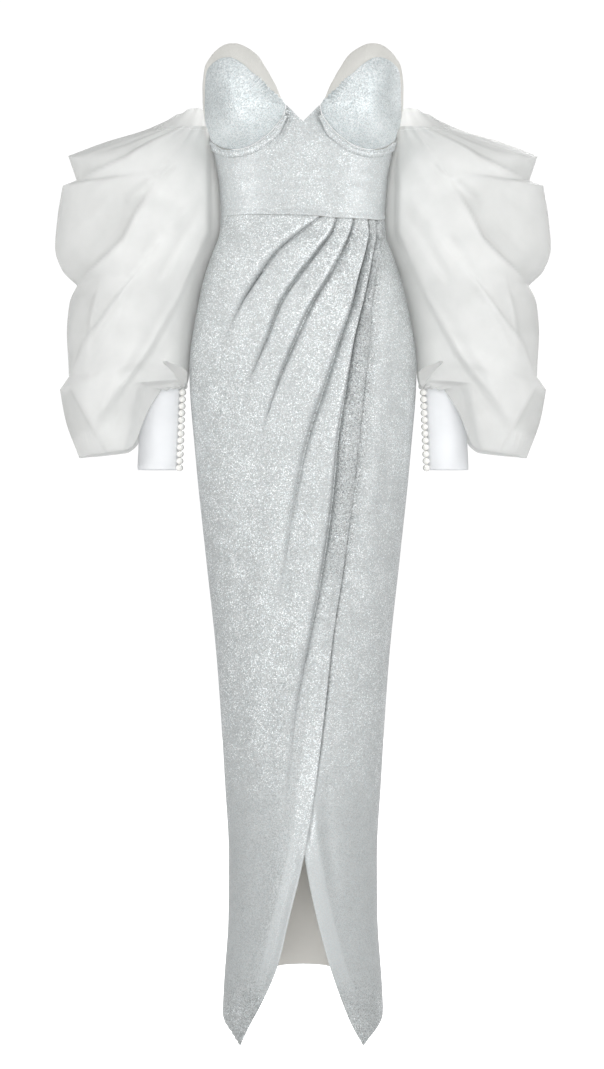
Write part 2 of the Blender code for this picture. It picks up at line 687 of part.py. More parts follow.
def build_under(materials, collection):
    """The plain front panel, from the wearer's left side seam to the edge that the wrap hides."""
    share = np.linspace(0, 1, UNDER_COLUMNS + 1)
    hem = SIDE_HEM + (FRONT_TIP - SIDE_HEM) * share
    top_edge = front_angle(UNDER_EDGE[-1].across, UNDER_EDGE[-1].height)
    top_angle = math.pi / 2 + share * (top_edge - math.pi / 2)
    seam = edge_height(WAIST_SEAM, top_angle) - SEAM - UNDER_LOWER * share
    height = seam + crowded(UNDER_ROWS)[:, None] * (hem - seam)
    edge = front_angle(column_of(UNDER_EDGE, "across", "height", height), height)
    start = math.pi / 2 - arc_gap(SEAM / 2, height)
    angle = start + share * (edge - start)
    material = materials["glitter_cloth"]
    body_panel("skirt_front_under", angle, height, 0.0, GLITTER_CLOTH, material, collection)


def build_skirt_backs(materials, collection):
    start = math.pi / 2
    end = math.pi
    share = np.linspace(0, 1, BACK_COLUMNS + 1)
    for side in (LEFT, RIGHT):
        angle = start + share * (end - start)
        seam = edge_height(WAIST_SEAM, angle) - SEAM / 2
        hem = edge_height(SKIRT_BACK_HEM, angle)
        height = seam + crowded(BACK_ROWS)[:, None] * (hem - seam)
        gap = arc_gap(SEAM / 2, height)
        angle = start + gap + share * (end - start - 2 * gap)
        name = f"skirt_back_{SIDE_NAMES[side]}"
        material = materials["glitter_cloth"]
        body_panel(name, side * angle, height, 0.0, GLITTER_CLOTH, material, collection)
    half = start + share[1::2] * (end - start)
    angle = np.concatenate([half, 2 * math.pi - half[::-1]])
    folded = np.where(angle > math.pi, 2 * math.pi - angle, angle)
    seam = edge_height(WAIST_SEAM, folded) - SEAM
    hem = edge_height(SKIRT_BACK_HEM, folded) + LINING_SHORTER
    height = seam + crowded(BACK_ROWS)[:, None] * (hem - seam)
    angle = np.broadcast_to(angle, height.shape)
    out = -(GLITTER_CLOTH + 2 * SEAM)
    material = materials["taupe_lining"]
    body_panel("skirt_back_lining", angle, height, out, LINING_CLOTH, material, collection)


def line_offset(out, height, line):
    """Signed distance from a line of points in the front view, positive on its left, and how far along it."""
    points = np.stack([out, height], axis=-1)
    line = np.array(line)
    best = np.full(out.shape, np.inf)
    signed = np.zeros(out.shape)
    lengths = np.linalg.norm(np.diff(line, axis=0), axis=1)
    starts = np.concatenate([[0], np.cumsum(lengths)])
    along = np.zeros(out.shape)
    for start, end, length, before in zip(line[:-1], line[1:], lengths, starts):
        direction = (end - start) / length
        offset = points - start
        share = np.clip(offset @ direction, 0, length)
        gap = offset - share[..., None] * direction
        distance = np.linalg.norm(gap, axis=-1)
        side = np.sign(direction[0] * offset[..., 1] - direction[1] * offset[..., 0])
        closer = distance < best
        best = np.where(closer, distance, best)
        signed = np.where(closer, side * distance, signed)
        along = np.where(closer, (before + share) / starts[-1], along)
    return signed, along


def fold_lift(out, height):
    """How far the sleeve's folds stand out at places in the front view."""
    lift = np.zeros(out.shape)
    for fold in SLEEVE_FOLDS:
        signed, along = line_offset(out, height, fold.line)
        step = ramp(-FOLD_SOFTNESS, FOLD_SOFTNESS, signed)
        fade = np.exp(-np.maximum(signed, 0) / fold.reach)
        ends = ramp(-FOLD_END_SHARE, FOLD_END_SHARE, along)
        ends *= ramp(1 + FOLD_END_SHARE, 1 - FOLD_END_SHARE, along)
        lift += fold.height * step * fade * ends
    return lift


def sleeve_inner_out(ring):
    """How far out the ring's body side lies: clear of the gown's side, a little behind its widest line."""
    half_width, _, back = body_size(ring.inner_height)
    narrower = (1 - (ring.lean / back) ** SQUARENESS) ** (1 / SQUARENESS)
    return half_width * narrower + ring.clear


def sleeve_rings():
    """Rings of points for the wearer's left sleeve, from the arm opening to the cuff's top."""
    turn = np.linspace(0, 2 * math.pi, SLEEVE_COLUMNS, endpoint=False)
    across = np.sign(np.cos(turn)) * np.abs(np.cos(turn)) ** (2 / SLEEVE_SQUARENESS)
    round_side = np.abs(np.sin(turn)) ** (2 / SLEEVE_SQUARENESS)
    pointed_side = np.abs(np.sin(turn)) ** (2 / SLEEVE_POINT)
    deep = np.sign(np.sin(turn)) * np.where(across > 0, pointed_side, round_side)
    inwards = 0.5 - 0.5 * across
    rings = []
    for ring in SLEEVE_RINGS:
        inner = sleeve_inner_out(ring)
        out = ring.out + inwards * (inner - ring.out)
        from_inner = 1 - inwards
        lapped = LAP_SHARE * ramp(LAP_FROM, LAP_TO, from_inner) + (1 - LAP_SHARE) * from_inner
        share = from_inner + ring.lap * (lapped - from_inner)
        height = ring.inner_height + share * (ring.height - ring.inner_height)
        height = height - ring.drop * np.maximum(deep, 0) + ring.rise * np.maximum(-deep, 0)
        depth = ring.depth * deep
        deep_enough = ramp(FOLD_LEAST_DEPTH, 2 * FOLD_LEAST_DEPTH, ring.depth)
        lift = fold_lift(out, height) * np.abs(deep) ** FOLD_FALLS_OFF * deep_enough
        depth = depth + np.sign(deep) * lift - ring.lean * inwards**2
        rings.append(np.stack([out, -depth, height], axis=-1))
    out = CUFF_TOP_OUT + (CUFF_TOP_HALF_WIDTH + CUFF_EASE) * np.cos(turn)
    depth = (CUFF_HALF_DEPTH + CUFF_EASE) * np.sin(turn)
    rings.append(np.stack([out, -depth, np.full_like(out, CUFF_TOP + SEAM)], axis=-1))
    return np.array(rings)


def build_sleeve(side, materials, collection):
    outer = sleeve_rings()
    normal = grid_normals(outer, closed=True)
    middle = len(outer) // 2
    centre = outer[middle].mean(axis=0)
    normal = normal * np.sign(np.sum(normal[middle] * (outer[middle] - centre)))
    inner = outer - normal * ORGANZA
    mirror = np.array([side, 1, 1])
    missing = {(row, column) for row in PLACKET_RINGS for column in PLACKET_COLUMNS}
    triangles = grid_triangles(outer, closed=True, missing=missing)
    name = f"sleeve_{SIDE_NAMES[side]}"
    cloth_wall(name, outer * mirror, inner * mirror, triangles, materials["white_organza"], collection)


def cuff_point(angle, height, out, side):
    """A point on the cuff. Angles start at the body side and grow towards the front."""
    share = (CUFF_TOP - height) / (CUFF_TOP - CUFF_BOTTOM)
    centre = CUFF_TOP_OUT + share * (CUFF_BOTTOM_OUT - CUFF_TOP_OUT)
    half_width = CUFF_TOP_HALF_WIDTH + share * (CUFF_BOTTOM_HALF_WIDTH - CUFF_TOP_HALF_WIDTH)
    place = np.stack(
        [
            side * (centre - half_width * np.cos(angle)),
            -CUFF_HALF_DEPTH * np.sin(angle),
            height,
        ],
        axis=-1,
    )
    normal = np.stack(
        [-side * np.cos(angle) / half_width, -np.sin(angle) / CUFF_HALF_DEPTH, np.zeros_like(height)],
        axis=-1,
    )
    normal /= np.linalg.norm(normal, axis=-1, keepdims=True)
    return place + np.asarray(out)[..., None] * normal, normal


def build_cuff(side, materials, collection):
    degrees = CUFF_LAP_EDGE + np.linspace(0, CUFF_SWEEP, CUFF_COLUMNS + 1)
    height = np.linspace(CUFF_TOP, CUFF_BOTTOM, CUFF_ROWS + 1)[:, None] * np.ones(len(degrees))
    degrees = degrees * np.ones_like(height)
    under = ramp(CUFF_STEP_FROM, CUFF_STEP_TO, degrees)
    out = -(SATIN_CLOTH + 2 * SEAM) * under
    outer, normal = cuff_point(np.radians(degrees), height, out, side)
    inner = outer - normal * SATIN_CLOTH
    name = f"cuff_{SIDE_NAMES[side]}"
    cloth_wall(name, outer, inner, grid_triangles(outer), materials["white_satin"], collection)


def build_buttons(side, materials, collection):
    ball = bmesh.new()
    bmesh.ops.create_uvsphere(ball, u_segments=8, v_segments=6, radius=BUTTON_RADIUS)
    mesh = bpy.data.meshes.new(f"button_{SIDE_NAMES[side]}")
    ball.to_mesh(mesh)
    ball.free()
    mesh.shade_smooth()
    mesh.materials.append(materials["pearl"])
    for number, height in enumerate(np.linspace(FIRST_BUTTON, LAST_BUTTON, BUTTONS)):
        angle = math.radians(BUTTON_ANGLE)
        place = cuff_point(np.array(angle), np.array(height), BUTTON_RADIUS + SEAM, side)[0]
        button = bpy.data.objects.new(f"button_{SIDE_NAMES[side]}_{number + 1:02d}", mesh)
        button.location = place
        collection.objects.link(button)


def add_box(name, size, centre, material, collection):
    box = bmesh.new()
    bmesh.ops.create_cube(box, size=1)
    bmesh.ops.scale(box, vec=size, verts=box.verts)
    bmesh.ops.translate(box, vec=centre, verts=box.verts)
    mesh = bpy.data.meshes.new(name)
    box.to_mesh(mesh)
    box.free()
    return add_object(name, mesh, material, collection)


def boolean(obj, other, operation):
    cut = obj.modifiers.new(operation.lower(), "BOOLEAN")
    cut.operation = operation
    cut.object = other
    other.hide_render = True
    other.display_type = "WIRE"


def build_zip(materials, collection, cutters):
    """A slider on the centre-back seam, and the pull tab, whose origin lies on its hinge axis."""
    metal = materials["zip_metal"]
    ends = ZIP_HEIGHT + np.array([-0.5, 0.0, 0.5]) * SLIDER_LENGTH
    cloth = body_point(math.pi, ends)[0][:, 1].max()
    plate = cloth + SEAM + SLIDER_PLATE / 2
    face = plate + SLIDER_PLATE / 2
    bridge_depth = BRIDGE_WINDOW + BRIDGE_BAR
    axis = face + BRIDGE_WINDOW / 2
    size = (SLIDER_WIDTH, SLIDER_PLATE, SLIDER_LENGTH)
    slider = add_box("zip_slider", size, (0, plate, ZIP_HEIGHT), metal, collection)
    size = (BRIDGE_WIDTH, bridge_depth + SLIDER_PLATE / 2, BRIDGE_LENGTH)
    middle = plate + size[1] / 2
    bridge = add_box("slider_bridge", size, (0, middle, ZIP_HEIGHT), metal, cutters)
    boolean(slider, bridge, "UNION")
    size = (2 * BRIDGE_WIDTH, BRIDGE_WINDOW, BRIDGE_WINDOW_LENGTH)
    window = add_box("slider_window", size, (0, axis, ZIP_HEIGHT), metal, cutters)
    boolean(slider, window, "DIFFERENCE")

    pull_middle = PULL_BAR / 2 - PULL_LENGTH / 2
    size = (PULL_WIDTH, PULL_THICKNESS, PULL_LENGTH)
    pull = add_box("zip_pull", size, (0, 0, pull_middle), metal, collection)
    pull.location = (0, axis, ZIP_HEIGHT)
    size = (PULL_EYE_WIDTH, 3 * PULL_THICKNESS, PULL_EYE_LENGTH)
    centre = (0, axis, ZIP_HEIGHT - PULL_BAR / 2 - PULL_EYE_LENGTH / 2)
    eye = add_box("pull_eye", size, centre, metal, cutters)
    boolean(pull, eye, "DIFFERENCE")


def build_gown():
    clear_scene()
    materials = make_materials()
    gown = bpy.data.collections.new("wedding_gown")
    cutters = bpy.data.collections.new("cutters")
    bpy.context.scene.collection.children.link(gown)
    bpy.context.scene.collection.children.link(cutters)
    build_bodice(materials, gown)
    build_wrap(materials, gown)
    build_under(materials, gown)
    build_skirt_backs(materials, gown)
    for side in (LEFT, RIGHT):
        build_cups(side, materials, gown)
        build_casing(side, materials, gown)
        build_sleeve(side, materials, gown)
        build_cuff(side, materials, gown)
        build_buttons(side, materials, gown)
    build_zip(materials, gown, cutters)


build_gown()
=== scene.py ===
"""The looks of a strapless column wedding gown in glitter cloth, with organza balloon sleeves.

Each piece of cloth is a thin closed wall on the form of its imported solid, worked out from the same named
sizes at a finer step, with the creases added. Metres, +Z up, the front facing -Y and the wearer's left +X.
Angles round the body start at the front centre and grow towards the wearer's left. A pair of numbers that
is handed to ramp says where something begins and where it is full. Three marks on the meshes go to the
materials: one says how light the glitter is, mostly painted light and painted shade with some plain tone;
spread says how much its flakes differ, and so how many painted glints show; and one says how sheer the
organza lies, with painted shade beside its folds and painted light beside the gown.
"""

import math
from collections import namedtuple

import bmesh
import bpy
import numpy as np
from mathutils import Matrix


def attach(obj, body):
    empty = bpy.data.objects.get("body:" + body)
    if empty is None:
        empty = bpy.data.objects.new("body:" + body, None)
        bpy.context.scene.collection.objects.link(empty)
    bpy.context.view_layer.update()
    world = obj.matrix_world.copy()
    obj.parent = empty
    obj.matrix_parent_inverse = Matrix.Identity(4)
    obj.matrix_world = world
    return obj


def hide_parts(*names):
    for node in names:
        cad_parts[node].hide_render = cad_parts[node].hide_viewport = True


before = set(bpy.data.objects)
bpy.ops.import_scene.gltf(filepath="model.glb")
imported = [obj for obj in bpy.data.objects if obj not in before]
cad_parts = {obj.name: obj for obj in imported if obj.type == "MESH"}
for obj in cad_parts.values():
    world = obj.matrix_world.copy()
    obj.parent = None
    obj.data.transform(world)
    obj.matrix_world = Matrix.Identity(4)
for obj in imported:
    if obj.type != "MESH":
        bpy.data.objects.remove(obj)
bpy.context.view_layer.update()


def table(columns, *rows):
    """A list of rows with named columns."""
    row_type = namedtuple("Row", columns)
    return [row_type(*row) for row in rows]


LEFT = 1
RIGHT = -1
SIDE_NAMES = {LEFT: "left", RIGHT: "right"}
BODY_NAME = "gown"

# Thicknesses and gaps
SEAM = 0.0003
SIDE_GAP = 0.00005
GLITTER_CLOTH = 0.0011
CUP_CLOTH = 0.0020
FACING_CLOTH = 0.0012
CASING_CLOTH = 0.0025
LINING_CLOTH = 0.0008
ORGANZA = 0.0006
SATIN_CLOTH = 0.0013

# Edges that roll inward, as a depth within a width
TUCK_DEPTH = 0.0007
TUCK_WIDTH = 0.0030
TURNED = (TUCK_DEPTH, TUCK_WIDTH)
SIDE_SEAM = (0.0003, 0.0012)
CUP_TUCK = (0.0009, TUCK_WIDTH)
FACING_TUCK = (0.0008, 0.0020)
CUFF_TUCK = (0.0005, 0.0020)
SEAM_TUCK_DEPTH = 0.0020
SEAM_TUCK_WIDTH = 0.0035
SEAM_DEEPENS = (-0.085, -0.045)

# Stitches, and how far in from an edge they run
STITCH_PITCH = 0.0030
STITCH_LENGTH = 0.0022
STITCH_RADIUS = 0.00022
HEM_INSET = 0.012
EDGE_INSET = 0.006
WAIST_STITCHED = 0.004
ZIP_STITCHED = 0.005
FACING_STITCHED = 0.003
CUFF_STITCHED = 0.004

# The filled-out form, from the hem to the underarm
BODY = table(
    "height half_width front back",
    (-1.200, 0.1185, 0.097, 0.103),
    (-1.102, 0.1138, 0.095, 0.101),
    (-1.000, 0.1073, 0.092, 0.098),
    (-0.920, 0.1067, 0.092, 0.098),
    (-0.809, 0.1123, 0.094, 0.101),
    (-0.636, 0.1238, 0.098, 0.107),
    (-0.480, 0.1404, 0.102, 0.114),
    (-0.348, 0.1541, 0.105, 0.121),
    (-0.217, 0.1634, 0.106, 0.126),
    (-0.110, 0.1469, 0.101, 0.116),
    (-0.054, 0.1296, 0.095, 0.100),
    (-0.027, 0.1195, 0.090, 0.089),
    (0.000, 0.1178, 0.088, 0.083),
    (0.030, 0.1195, 0.0885, 0.083),
    (0.060, 0.1220, 0.089, 0.084),
    (0.085, 0.1268, 0.091, 0.086),
    (0.108, 0.1318, 0.093, 0.087),
    (0.126, 0.1372, 0.095, 0.088),
    (0.150, 0.1430, 0.096, 0.088),
    (0.180, 0.1440, 0.096, 0.088),
)
SQUARENESS = 2.2
SLOPE_STEP = 0.002
SHARP_FROM = 50

# Edges that run round the body
WAIST_SEAM = table(
    "angle height",
    (-180, 0.0), (-90, -0.001), (0, -0.0055), (25, -0.009), (60, -0.008), (90, -0.001), (180, 0.0),
)
BODICE_BACK_TOP = table("angle height", (90, 0.122), (125, 0.108), (180, 0.096))
SKIRT_BACK_HEM = table(
    "angle height",
    (90, -1.140), (120, -1.120), (150, -1.098), (168, -1.0895), (180, -1.0885),
)
FRONT_TIP = -1.178
SIDE_HEM = -1.140

# Midriff, the V between the cups, and the bodice backs
V_BOTTOM = 0.126
BRIDGE_TOP = 0.149
BRIDGE_HALF_WIDTH = 0.0235
BRIDGE_COLUMNS = 17
BODICE_HALF_WIDTH = 0.1360
BODICE_COLUMNS = 60
BODICE_ROWS = 89
BODICE_SIDE_TOP = 0.122
BODICE_MIDDLE = 0.05
BODICE_BACK_COLUMNS = 49
BODICE_BACK_ROWS = 61
TOP_EDGE_ROUNDS = 30
WAIST_FLARE = 0.012
# Towards the sides the flakes grow calmer, and painted light lightens the cloth where the sleeves shade it
CALM_FROM_SIDE = (0.30, 0.80)
SIDE_PAINTED_LIGHT = 0.95
SIDE_SPREAD = -0.50
MIDRIFF_SPREAD = -0.12
# A patch of painted shade beside the V, under each cup's inner end, where the flakes also differ more
BRIDGE_SHADE_PATCH = (0.035, 0.137)
BRIDGE_SHADE_RADIUS = 0.021
BRIDGE_SHADE_FADES = (1.0, 0.4)
BRIDGE_SHADE_TONE = -1.7
BRIDGE_SHADE_SPREAD = 1.1

# Cup edge as seen from the front, round the cup's centre: 0 points at the other cup, 90 up
CUP_CENTRE_OUT = 0.0835
CUP_CENTRE_HEIGHT = 0.1475
CUP_APEX_DEPTH = 0.138
CUP_SEWN_BETWEEN = (214, 226)
CUP_EDGE_GAP = 0.0009
CUP_EDGE = table(
    "angle radius",
    (2.5, 0.0600), (20, 0.0570), (38.5, 0.0588), (58.3, 0.0664), (74.5, 0.0797), (85.3, 0.0878),
    (96.2, 0.0953), (106.9, 0.0980), (117.2, 0.0956), (128.5, 0.0890), (141.7, 0.0762), (162.4, 0.0638),
    (181.4, 0.0595), (204.3, 0.0585), (219.6, 0.0617), (234.0, 0.0619), (254.4, 0.0594), (277.1, 0.0556),
    (304.4, 0.0520), (329.3, 0.0535), (348.8, 0.0582), (362.5, 0.0600),
)
CUP_FREE_DEPTH = table(
    "angle depth",
    (2.5, 0.0925), (38.5, 0.0880), (74.5, 0.0820), (96.2, 0.0770), (117.2, 0.0630), (128.5, 0.0480),
    (141.7, 0.0320), (162.4, 0.0170), (181.4, 0.0095), (204.3, 0.0085), (219.6, 0.0140),
)
GLITTER_TOP = table(
    "angle radius",
    (2.5, 0.0598), (16.1, 0.0509), (35.3, 0.0431), (68.9, 0.0445), (90.6, 0.0563), (106.9, 0.0707),
    (119.6, 0.0762), (131, 0.0780), (145, 0.0690),
)
GLITTER_SHORT = 0.062
GLITTER_MEETS_EDGE = (200, 150)
CUP_FULLNESS_BELOW = 2.5
CUP_FULLNESS_ABOVE = 2.0
CUP_COLUMNS = 240
CUP_ROWS = 45
CUP_CROWDING = 0.8
UNDER_CUP_FROM = 204
UNDER_CUP_TO = 360
UNDER_CUP_STEPS = 156

# Small gathers along the cup's upper inner edge, by angles in degrees and shares of the cup's radius
GATHER_PITCH = 7.5
GATHER_DEPTH = 0.0015
GATHER_STARTS = (4, 12)
GATHER_STOPS = (74, 60)
GATHER_REACH = (0.62, 0.97)
GATHER_UNEVEN = 0.3
GATHER_UNEVEN_RATE = 0.9
GATHER_DRIFT = 0.8
GATHER_DRIFT_RATE = 0.31

# Painted highlight on the cup's cloth, and painted light on its lower part
CUP_GLINT = (0.072, 0.196)
CUP_GLINT_RADIUS = 0.030
CUP_GLINT_SHINE = 0.8
CUP_LOW = (0.160, 0.110)
CUP_LOW_PAINTED_LIGHT = 0.9

# Cup facing: the inner cup that stands above the glitter cloth
FACING_FROM = 4
FACING_TO = 196
FACING_COLUMNS = 113
FACING_ROWS = 19
FACING_UNDERLAP = 0.16
FACING_GAP = 0.0014
FACING_FLARES = (118, 138)
FACING_FLARE_ENDS = (196, 187)
FACING_FLARED_BY = 0.7

# Wire casing: an inner and an outer ridge with a stitched groove near each edge
CASING_WIDTH = 0.0105
CASING_GAP = 0.0007
CASING_FROM = 216
CASING_TO = 347
CASING_COLUMNS = 91
CASING_STEPS = 21
CASING_STITCHED = (4, 16)
CASING_NEAREST_SIDE = 0.9992
CASING_TURNS = (222, 285)
CASING_NARROWS_FROM = 320
CASING_END_WIDTH = 0.55
CASING_ROWS = table(
    "share crown",
    (0.02, 0.05), (0.10, 0.70), (0.20, 1.00), (0.32, 0.80), (0.40, 0.55), (0.58, 0.75), (0.74, 0.70),
    (0.88, 0.45), (1.00, 0.05),
)
CASING_SHINE = 0.9
CASING_SPREAD = -0.45

# Skirt pleats: where each trough lies across the front, by height, and the wrap's free edge
PLEAT_COURSES = table(
    "height first second third fourth fifth edge",
    (-1.180, -0.1130, -0.1080, -0.1030, -0.0980, -0.0930, -0.0870),
    (-1.150, -0.1110, -0.1040, -0.0970, -0.0900, -0.0830, -0.0740),
    (-1.110, -0.1080, -0.0990, -0.0900, -0.0800, -0.0680, -0.0540),
    (-1.060, -0.1040, -0.0940, -0.0840, -0.0700, -0.0550, -0.0340),
    (-1.000, -0.1000, -0.0900, -0.0800, -0.0620, -0.0440, -0.0200),
    (-0.900, -0.0970, -0.0880, -0.0780, -0.0550, -0.0320, 0.0030),
    (-0.800, -0.1000, -0.0900, -0.0780, -0.0500, -0.0200, 0.0180),
    (-0.700, -0.1060, -0.0940, -0.0800, -0.0450, -0.0090, 0.0300),
    (-0.600, -0.1140, -0.0980, -0.0820, -0.0380, 0.0100, 0.0410),
    (-0.500, -0.1240, -0.1020, -0.0800, -0.0250, 0.0280, 0.0560),
    (-0.400, -0.1300, -0.1000, -0.0720, -0.0100, 0.0420, 0.0690),
    (-0.320, -0.1300, -0.0920, -0.0580, 0.0070, 0.0490, 0.0780),
    (-0.240, -0.1230, -0.0740, -0.0340, 0.0330, 0.0620, 0.0860),
    (-0.180, -0.1090, -0.0500, -0.0100, 0.0520, 0.0720, 0.0930),
    (-0.130, -0.0860, -0.0310, 0.0130, 0.0690, 0.0830, 0.0960),
    (-0.090, -0.0600, -0.0050, 0.0370, 0.0780, 0.0910, 0.1010),
    (-0.060, -0.0380, 0.0180, 0.0520, 0.0850, 0.0960, 0.1060),
    (-0.030, -0.0040, 0.0390, 0.0650, 0.0900, 0.1010, 0.1080),
    (-0.005, 0.0280, 0.0480, 0.0720, 0.0920, 0.1030, 0.1090),
)
PLEATS = table(
    "cells height crest fades_by",
    (38, 0.0058, 0.92, -0.200),
    (24, 0.0076, 0.88, -0.300),
    (24, 0.0086, 0.88, -0.370),
    (26, 0.0096, 0.86, -0.620),
    (20, 0.0068, 0.84, -0.950),
    (18, 0.0036, 0.60, -1.000),
)
PLEAT_AT_SEAM = 0.2
PLEAT_FULL_BELOW = 0.035
PLEAT_FADES_FROM = 0.35
PLEAT_CRISP = 0.62
PLEAT_SOFT = 1.25
PLEAT_SOFT_BELOW = -0.30
CELL_CROWDING = 0.7
TROUGH_CUT = 0.0052
TROUGH_WIDTH = 0.0011
TROUGH_WIDENS = 0.0022
# Painted shade in each trough and on the cloth beside it, and a painted highlight along each crest
TROUGH_SHADE = -2.2
SHADE_SHINE = -0.6
SHADE_WIDTH = 0.0065
SHADE_FADES = (0.8, 0.25)
CREST_HIGHLIGHT = 0.8
CREST_OFFSET = 0.0045
CREST_WIDTH = 0.0030
FREE_EDGE_LIFT = 0.0022
FREE_EDGE_WIDTH = 0.009
WRAP_OUT = 0.0028
WRAP_RISES = (-90, -62)
WRAP_SETTLES = (90, 75)
WRAP_ROWS = 271
ROW_CROWDING = 1.15
SEAM_ROUNDS = 6

# The gathered cloth beside the fifth pleat, darkened with painted shade, and the pleated cloth over the hip
GATHERED_HEIGHTS = (-0.62, -0.40)
GATHERED_ACROSS = (-0.010, 0.004)
GATHERED_WIDENS = 0.010
GATHERED_WIDENS_BETWEEN = (-0.22, -0.06)
GATHERED_SHADE = -1.1
GATHERED_SPREAD = 0.45
GATHERED_BEYOND = (0.017, 0.002)
BEYOND_SHADE = -0.70
BEYOND_SPREAD = 0.40
PLEATED_BETWEEN = (-0.24, -0.08)
PLEATED_ACROSS = (-0.02, 0.05)
PLEATED_SPREAD = 0.25

# Tone, painted light and spread all round the skirt: painted shade and calmer flakes low down, painted light
# at the sides, a line of painted shade along each side seam, and hem tips a touch darker with more speckle
CALM_AND_SHADED_LOW = (-0.70, -1.00)
LOW_PAINTED_SHADE = -0.80
LOW_SPREAD = -0.34
TIP_BETWEEN = (-1.05, -1.14)
TIP_SHINE = -0.05
TIP_SPREAD = 0.62
SKIRT_SIDE = (0.86, 1.00)
SKIRT_SIDE_PAINTED_LIGHT = 0.60
SIDE_SEAM_SHADE_BAND = (0.0030, 0.0006)
SIDE_SEAM_SHADE = -1.8

# Bands of painted highlight along both edges of the slit, with calmer flakes low down
SLIT_HIGHLIGHT_ACROSS = (0.025, 0.021)
SLIT_HIGHLIGHT_BETWEEN = (-0.60, -0.78)
SLIT_HIGHLIGHT_ENDS = (-1.12, -1.04)
SLIT_HIGHLIGHT_TONE = 0.75
SLIT_HIGHLIGHT_LOW_TONE = 0.58
SLIT_HIGHLIGHT_LOW_SPREAD = -0.32

# The under panel's edge: hidden down to the slit's top, then the slit's other edge
UNDER_EDGE = table(
    "height across",
    (-1.180, 0.0870), (-1.145, 0.0680), (-1.099, 0.0500), (-1.057, 0.0360), (-0.989, 0.0180),
    (-0.909, 0.0020), (-0.800, -0.0120), (-0.700, -0.0230), (-0.600, -0.0350), (-0.400, -0.0520),
    (-0.200, -0.0600), (-0.005, -0.0550),
)
UNDER_LOWER = 0.001
UNDER_LEAST = 0.012
UNDER_ROWS = 171
UNDER_SHOWN = 71
UNDER_HIDDEN = 40
UNDER_CROWDING = 1.5

# The line of painted shadow on the under panel beside the wrap's edge, pressed in as a shallow groove too,
# and the lighter band that peeks out further down
EDGE_SHADE_OFFSET = 0.0010
EDGE_SHADE_WIDTH = 0.0022
EDGE_SHADE_DEPTH = 0.0018
EDGE_SHADE_SHINE = -2.0
EDGE_SHADE_ABOVE = 0.45
EDGE_SHADE_STARTS = (-0.02, -0.10)
EDGE_SHADE_DARKENS = (-0.40, -0.56)
EDGE_SHADE_ENDS = (-0.92, -0.76)
PEEK_OFFSET = 0.0050
PEEK_WIDTH = 0.0042
PEEK_STARTS = (-0.66, -0.78)
PEEK_ENDS = (-0.95, -0.88)
PEEK_SHINE = 1.0
PEEK_SPREAD = -0.40

# Skirt backs and their lining
BACK_COLUMNS = 61
BACK_ROWS = 151
BACK_SIDE_PLAIN = 0.3
BACK_MIDDLE_PLAIN = 0.2
BACK_CREASES_DIFFER = (0.006, -0.018)
LINING_ROWS = 81
LINING_SHORTER = 0.0015
LINING_DEPTH = 0.0022
LINING_FROM_SIDE = 0.2

# Creases: a line in the front or back view as (across, height), how far it stands out and its half width
WRAP_CREASES = table(
    "out width line",
    (-0.0016, 0.006, [(0.066, -0.022), (0.056, -0.052), (0.046, -0.090), (0.034, -0.140)]),
    (0.0014, 0.007, [(0.092, -0.040), (0.082, -0.120), (0.068, -0.190), (0.056, -0.270)]),
    (-0.0018, 0.008, [(0.012, -0.350), (-0.008, -0.430), (-0.023, -0.520), (-0.030, -0.600)]),
    (0.0018, 0.010, [(0.034, -0.330), (0.016, -0.430), (-0.001, -0.560), (-0.012, -0.690)]),
    (0.0020, 0.008, [(0.058, -0.380), (0.042, -0.500), (0.026, -0.610), (0.010, -0.760)]),
    (-0.0012, 0.010, [(-0.062, -0.290), (-0.082, -0.420), (-0.092, -0.600)]),
    (0.0014, 0.012, [(-0.030, -0.330), (-0.052, -0.480), (-0.064, -0.680), (-0.070, -0.860)]),
    (-0.0010, 0.014, [(-0.096, -0.560), (-0.088, -0.740), (-0.084, -0.900)]),
    (0.0012, 0.010, [(-0.020, -0.800), (-0.034, -0.920), (-0.060, -1.040), (-0.080, -1.120)]),
    (-0.0010, 0.009, [(-0.108, -0.040), (-0.118, -0.110), (-0.126, -0.200)]),
)
UNDER_CREASES = table(
    "out width line",
    (-0.0026, 0.009, [(0.026, -0.740), (0.030, -0.820), (0.040, -0.910), (0.052, -1.000)]),
    (0.0022, 0.009, [(0.012, -0.800), (0.018, -0.880), (0.030, -0.960)]),
    (0.0014, 0.012, [(0.118, -0.060), (0.112, -0.220), (0.098, -0.420), (0.086, -0.620)]),
    (-0.0014, 0.012, [(0.136, -0.130), (0.126, -0.300), (0.108, -0.480)]),
    (-0.0012, 0.012, [(0.074, -0.640), (0.078, -0.800), (0.082, -0.960)]),
)
BACK_CREASES = table(
    "out width line",
    (-0.0022, 0.010, [(0.100, -0.012), (0.078, -0.060), (0.044, -0.115)]),
    (0.0018, 0.010, [(0.108, -0.045), (0.080, -0.110), (0.050, -0.170)]),
    (-0.0020, 0.011, [(0.040, -0.240), (0.066, -0.275), (0.110, -0.300)]),
    (0.0018, 0.012, [(0.020, -0.270), (0.052, -0.330), (0.100, -0.370)]),
    (-0.0024, 0.013, [(0.060, -0.360), (0.064, -0.560), (0.058, -0.820), (0.060, -1.060)]),
    (0.0022, 0.014, [(0.030, -0.420), (0.034, -0.640), (0.028, -0.900), (0.030, -1.080)]),
    (-0.0016, 0.012, [(0.092, -0.480), (0.088, -0.700), (0.084, -0.960)]),
)
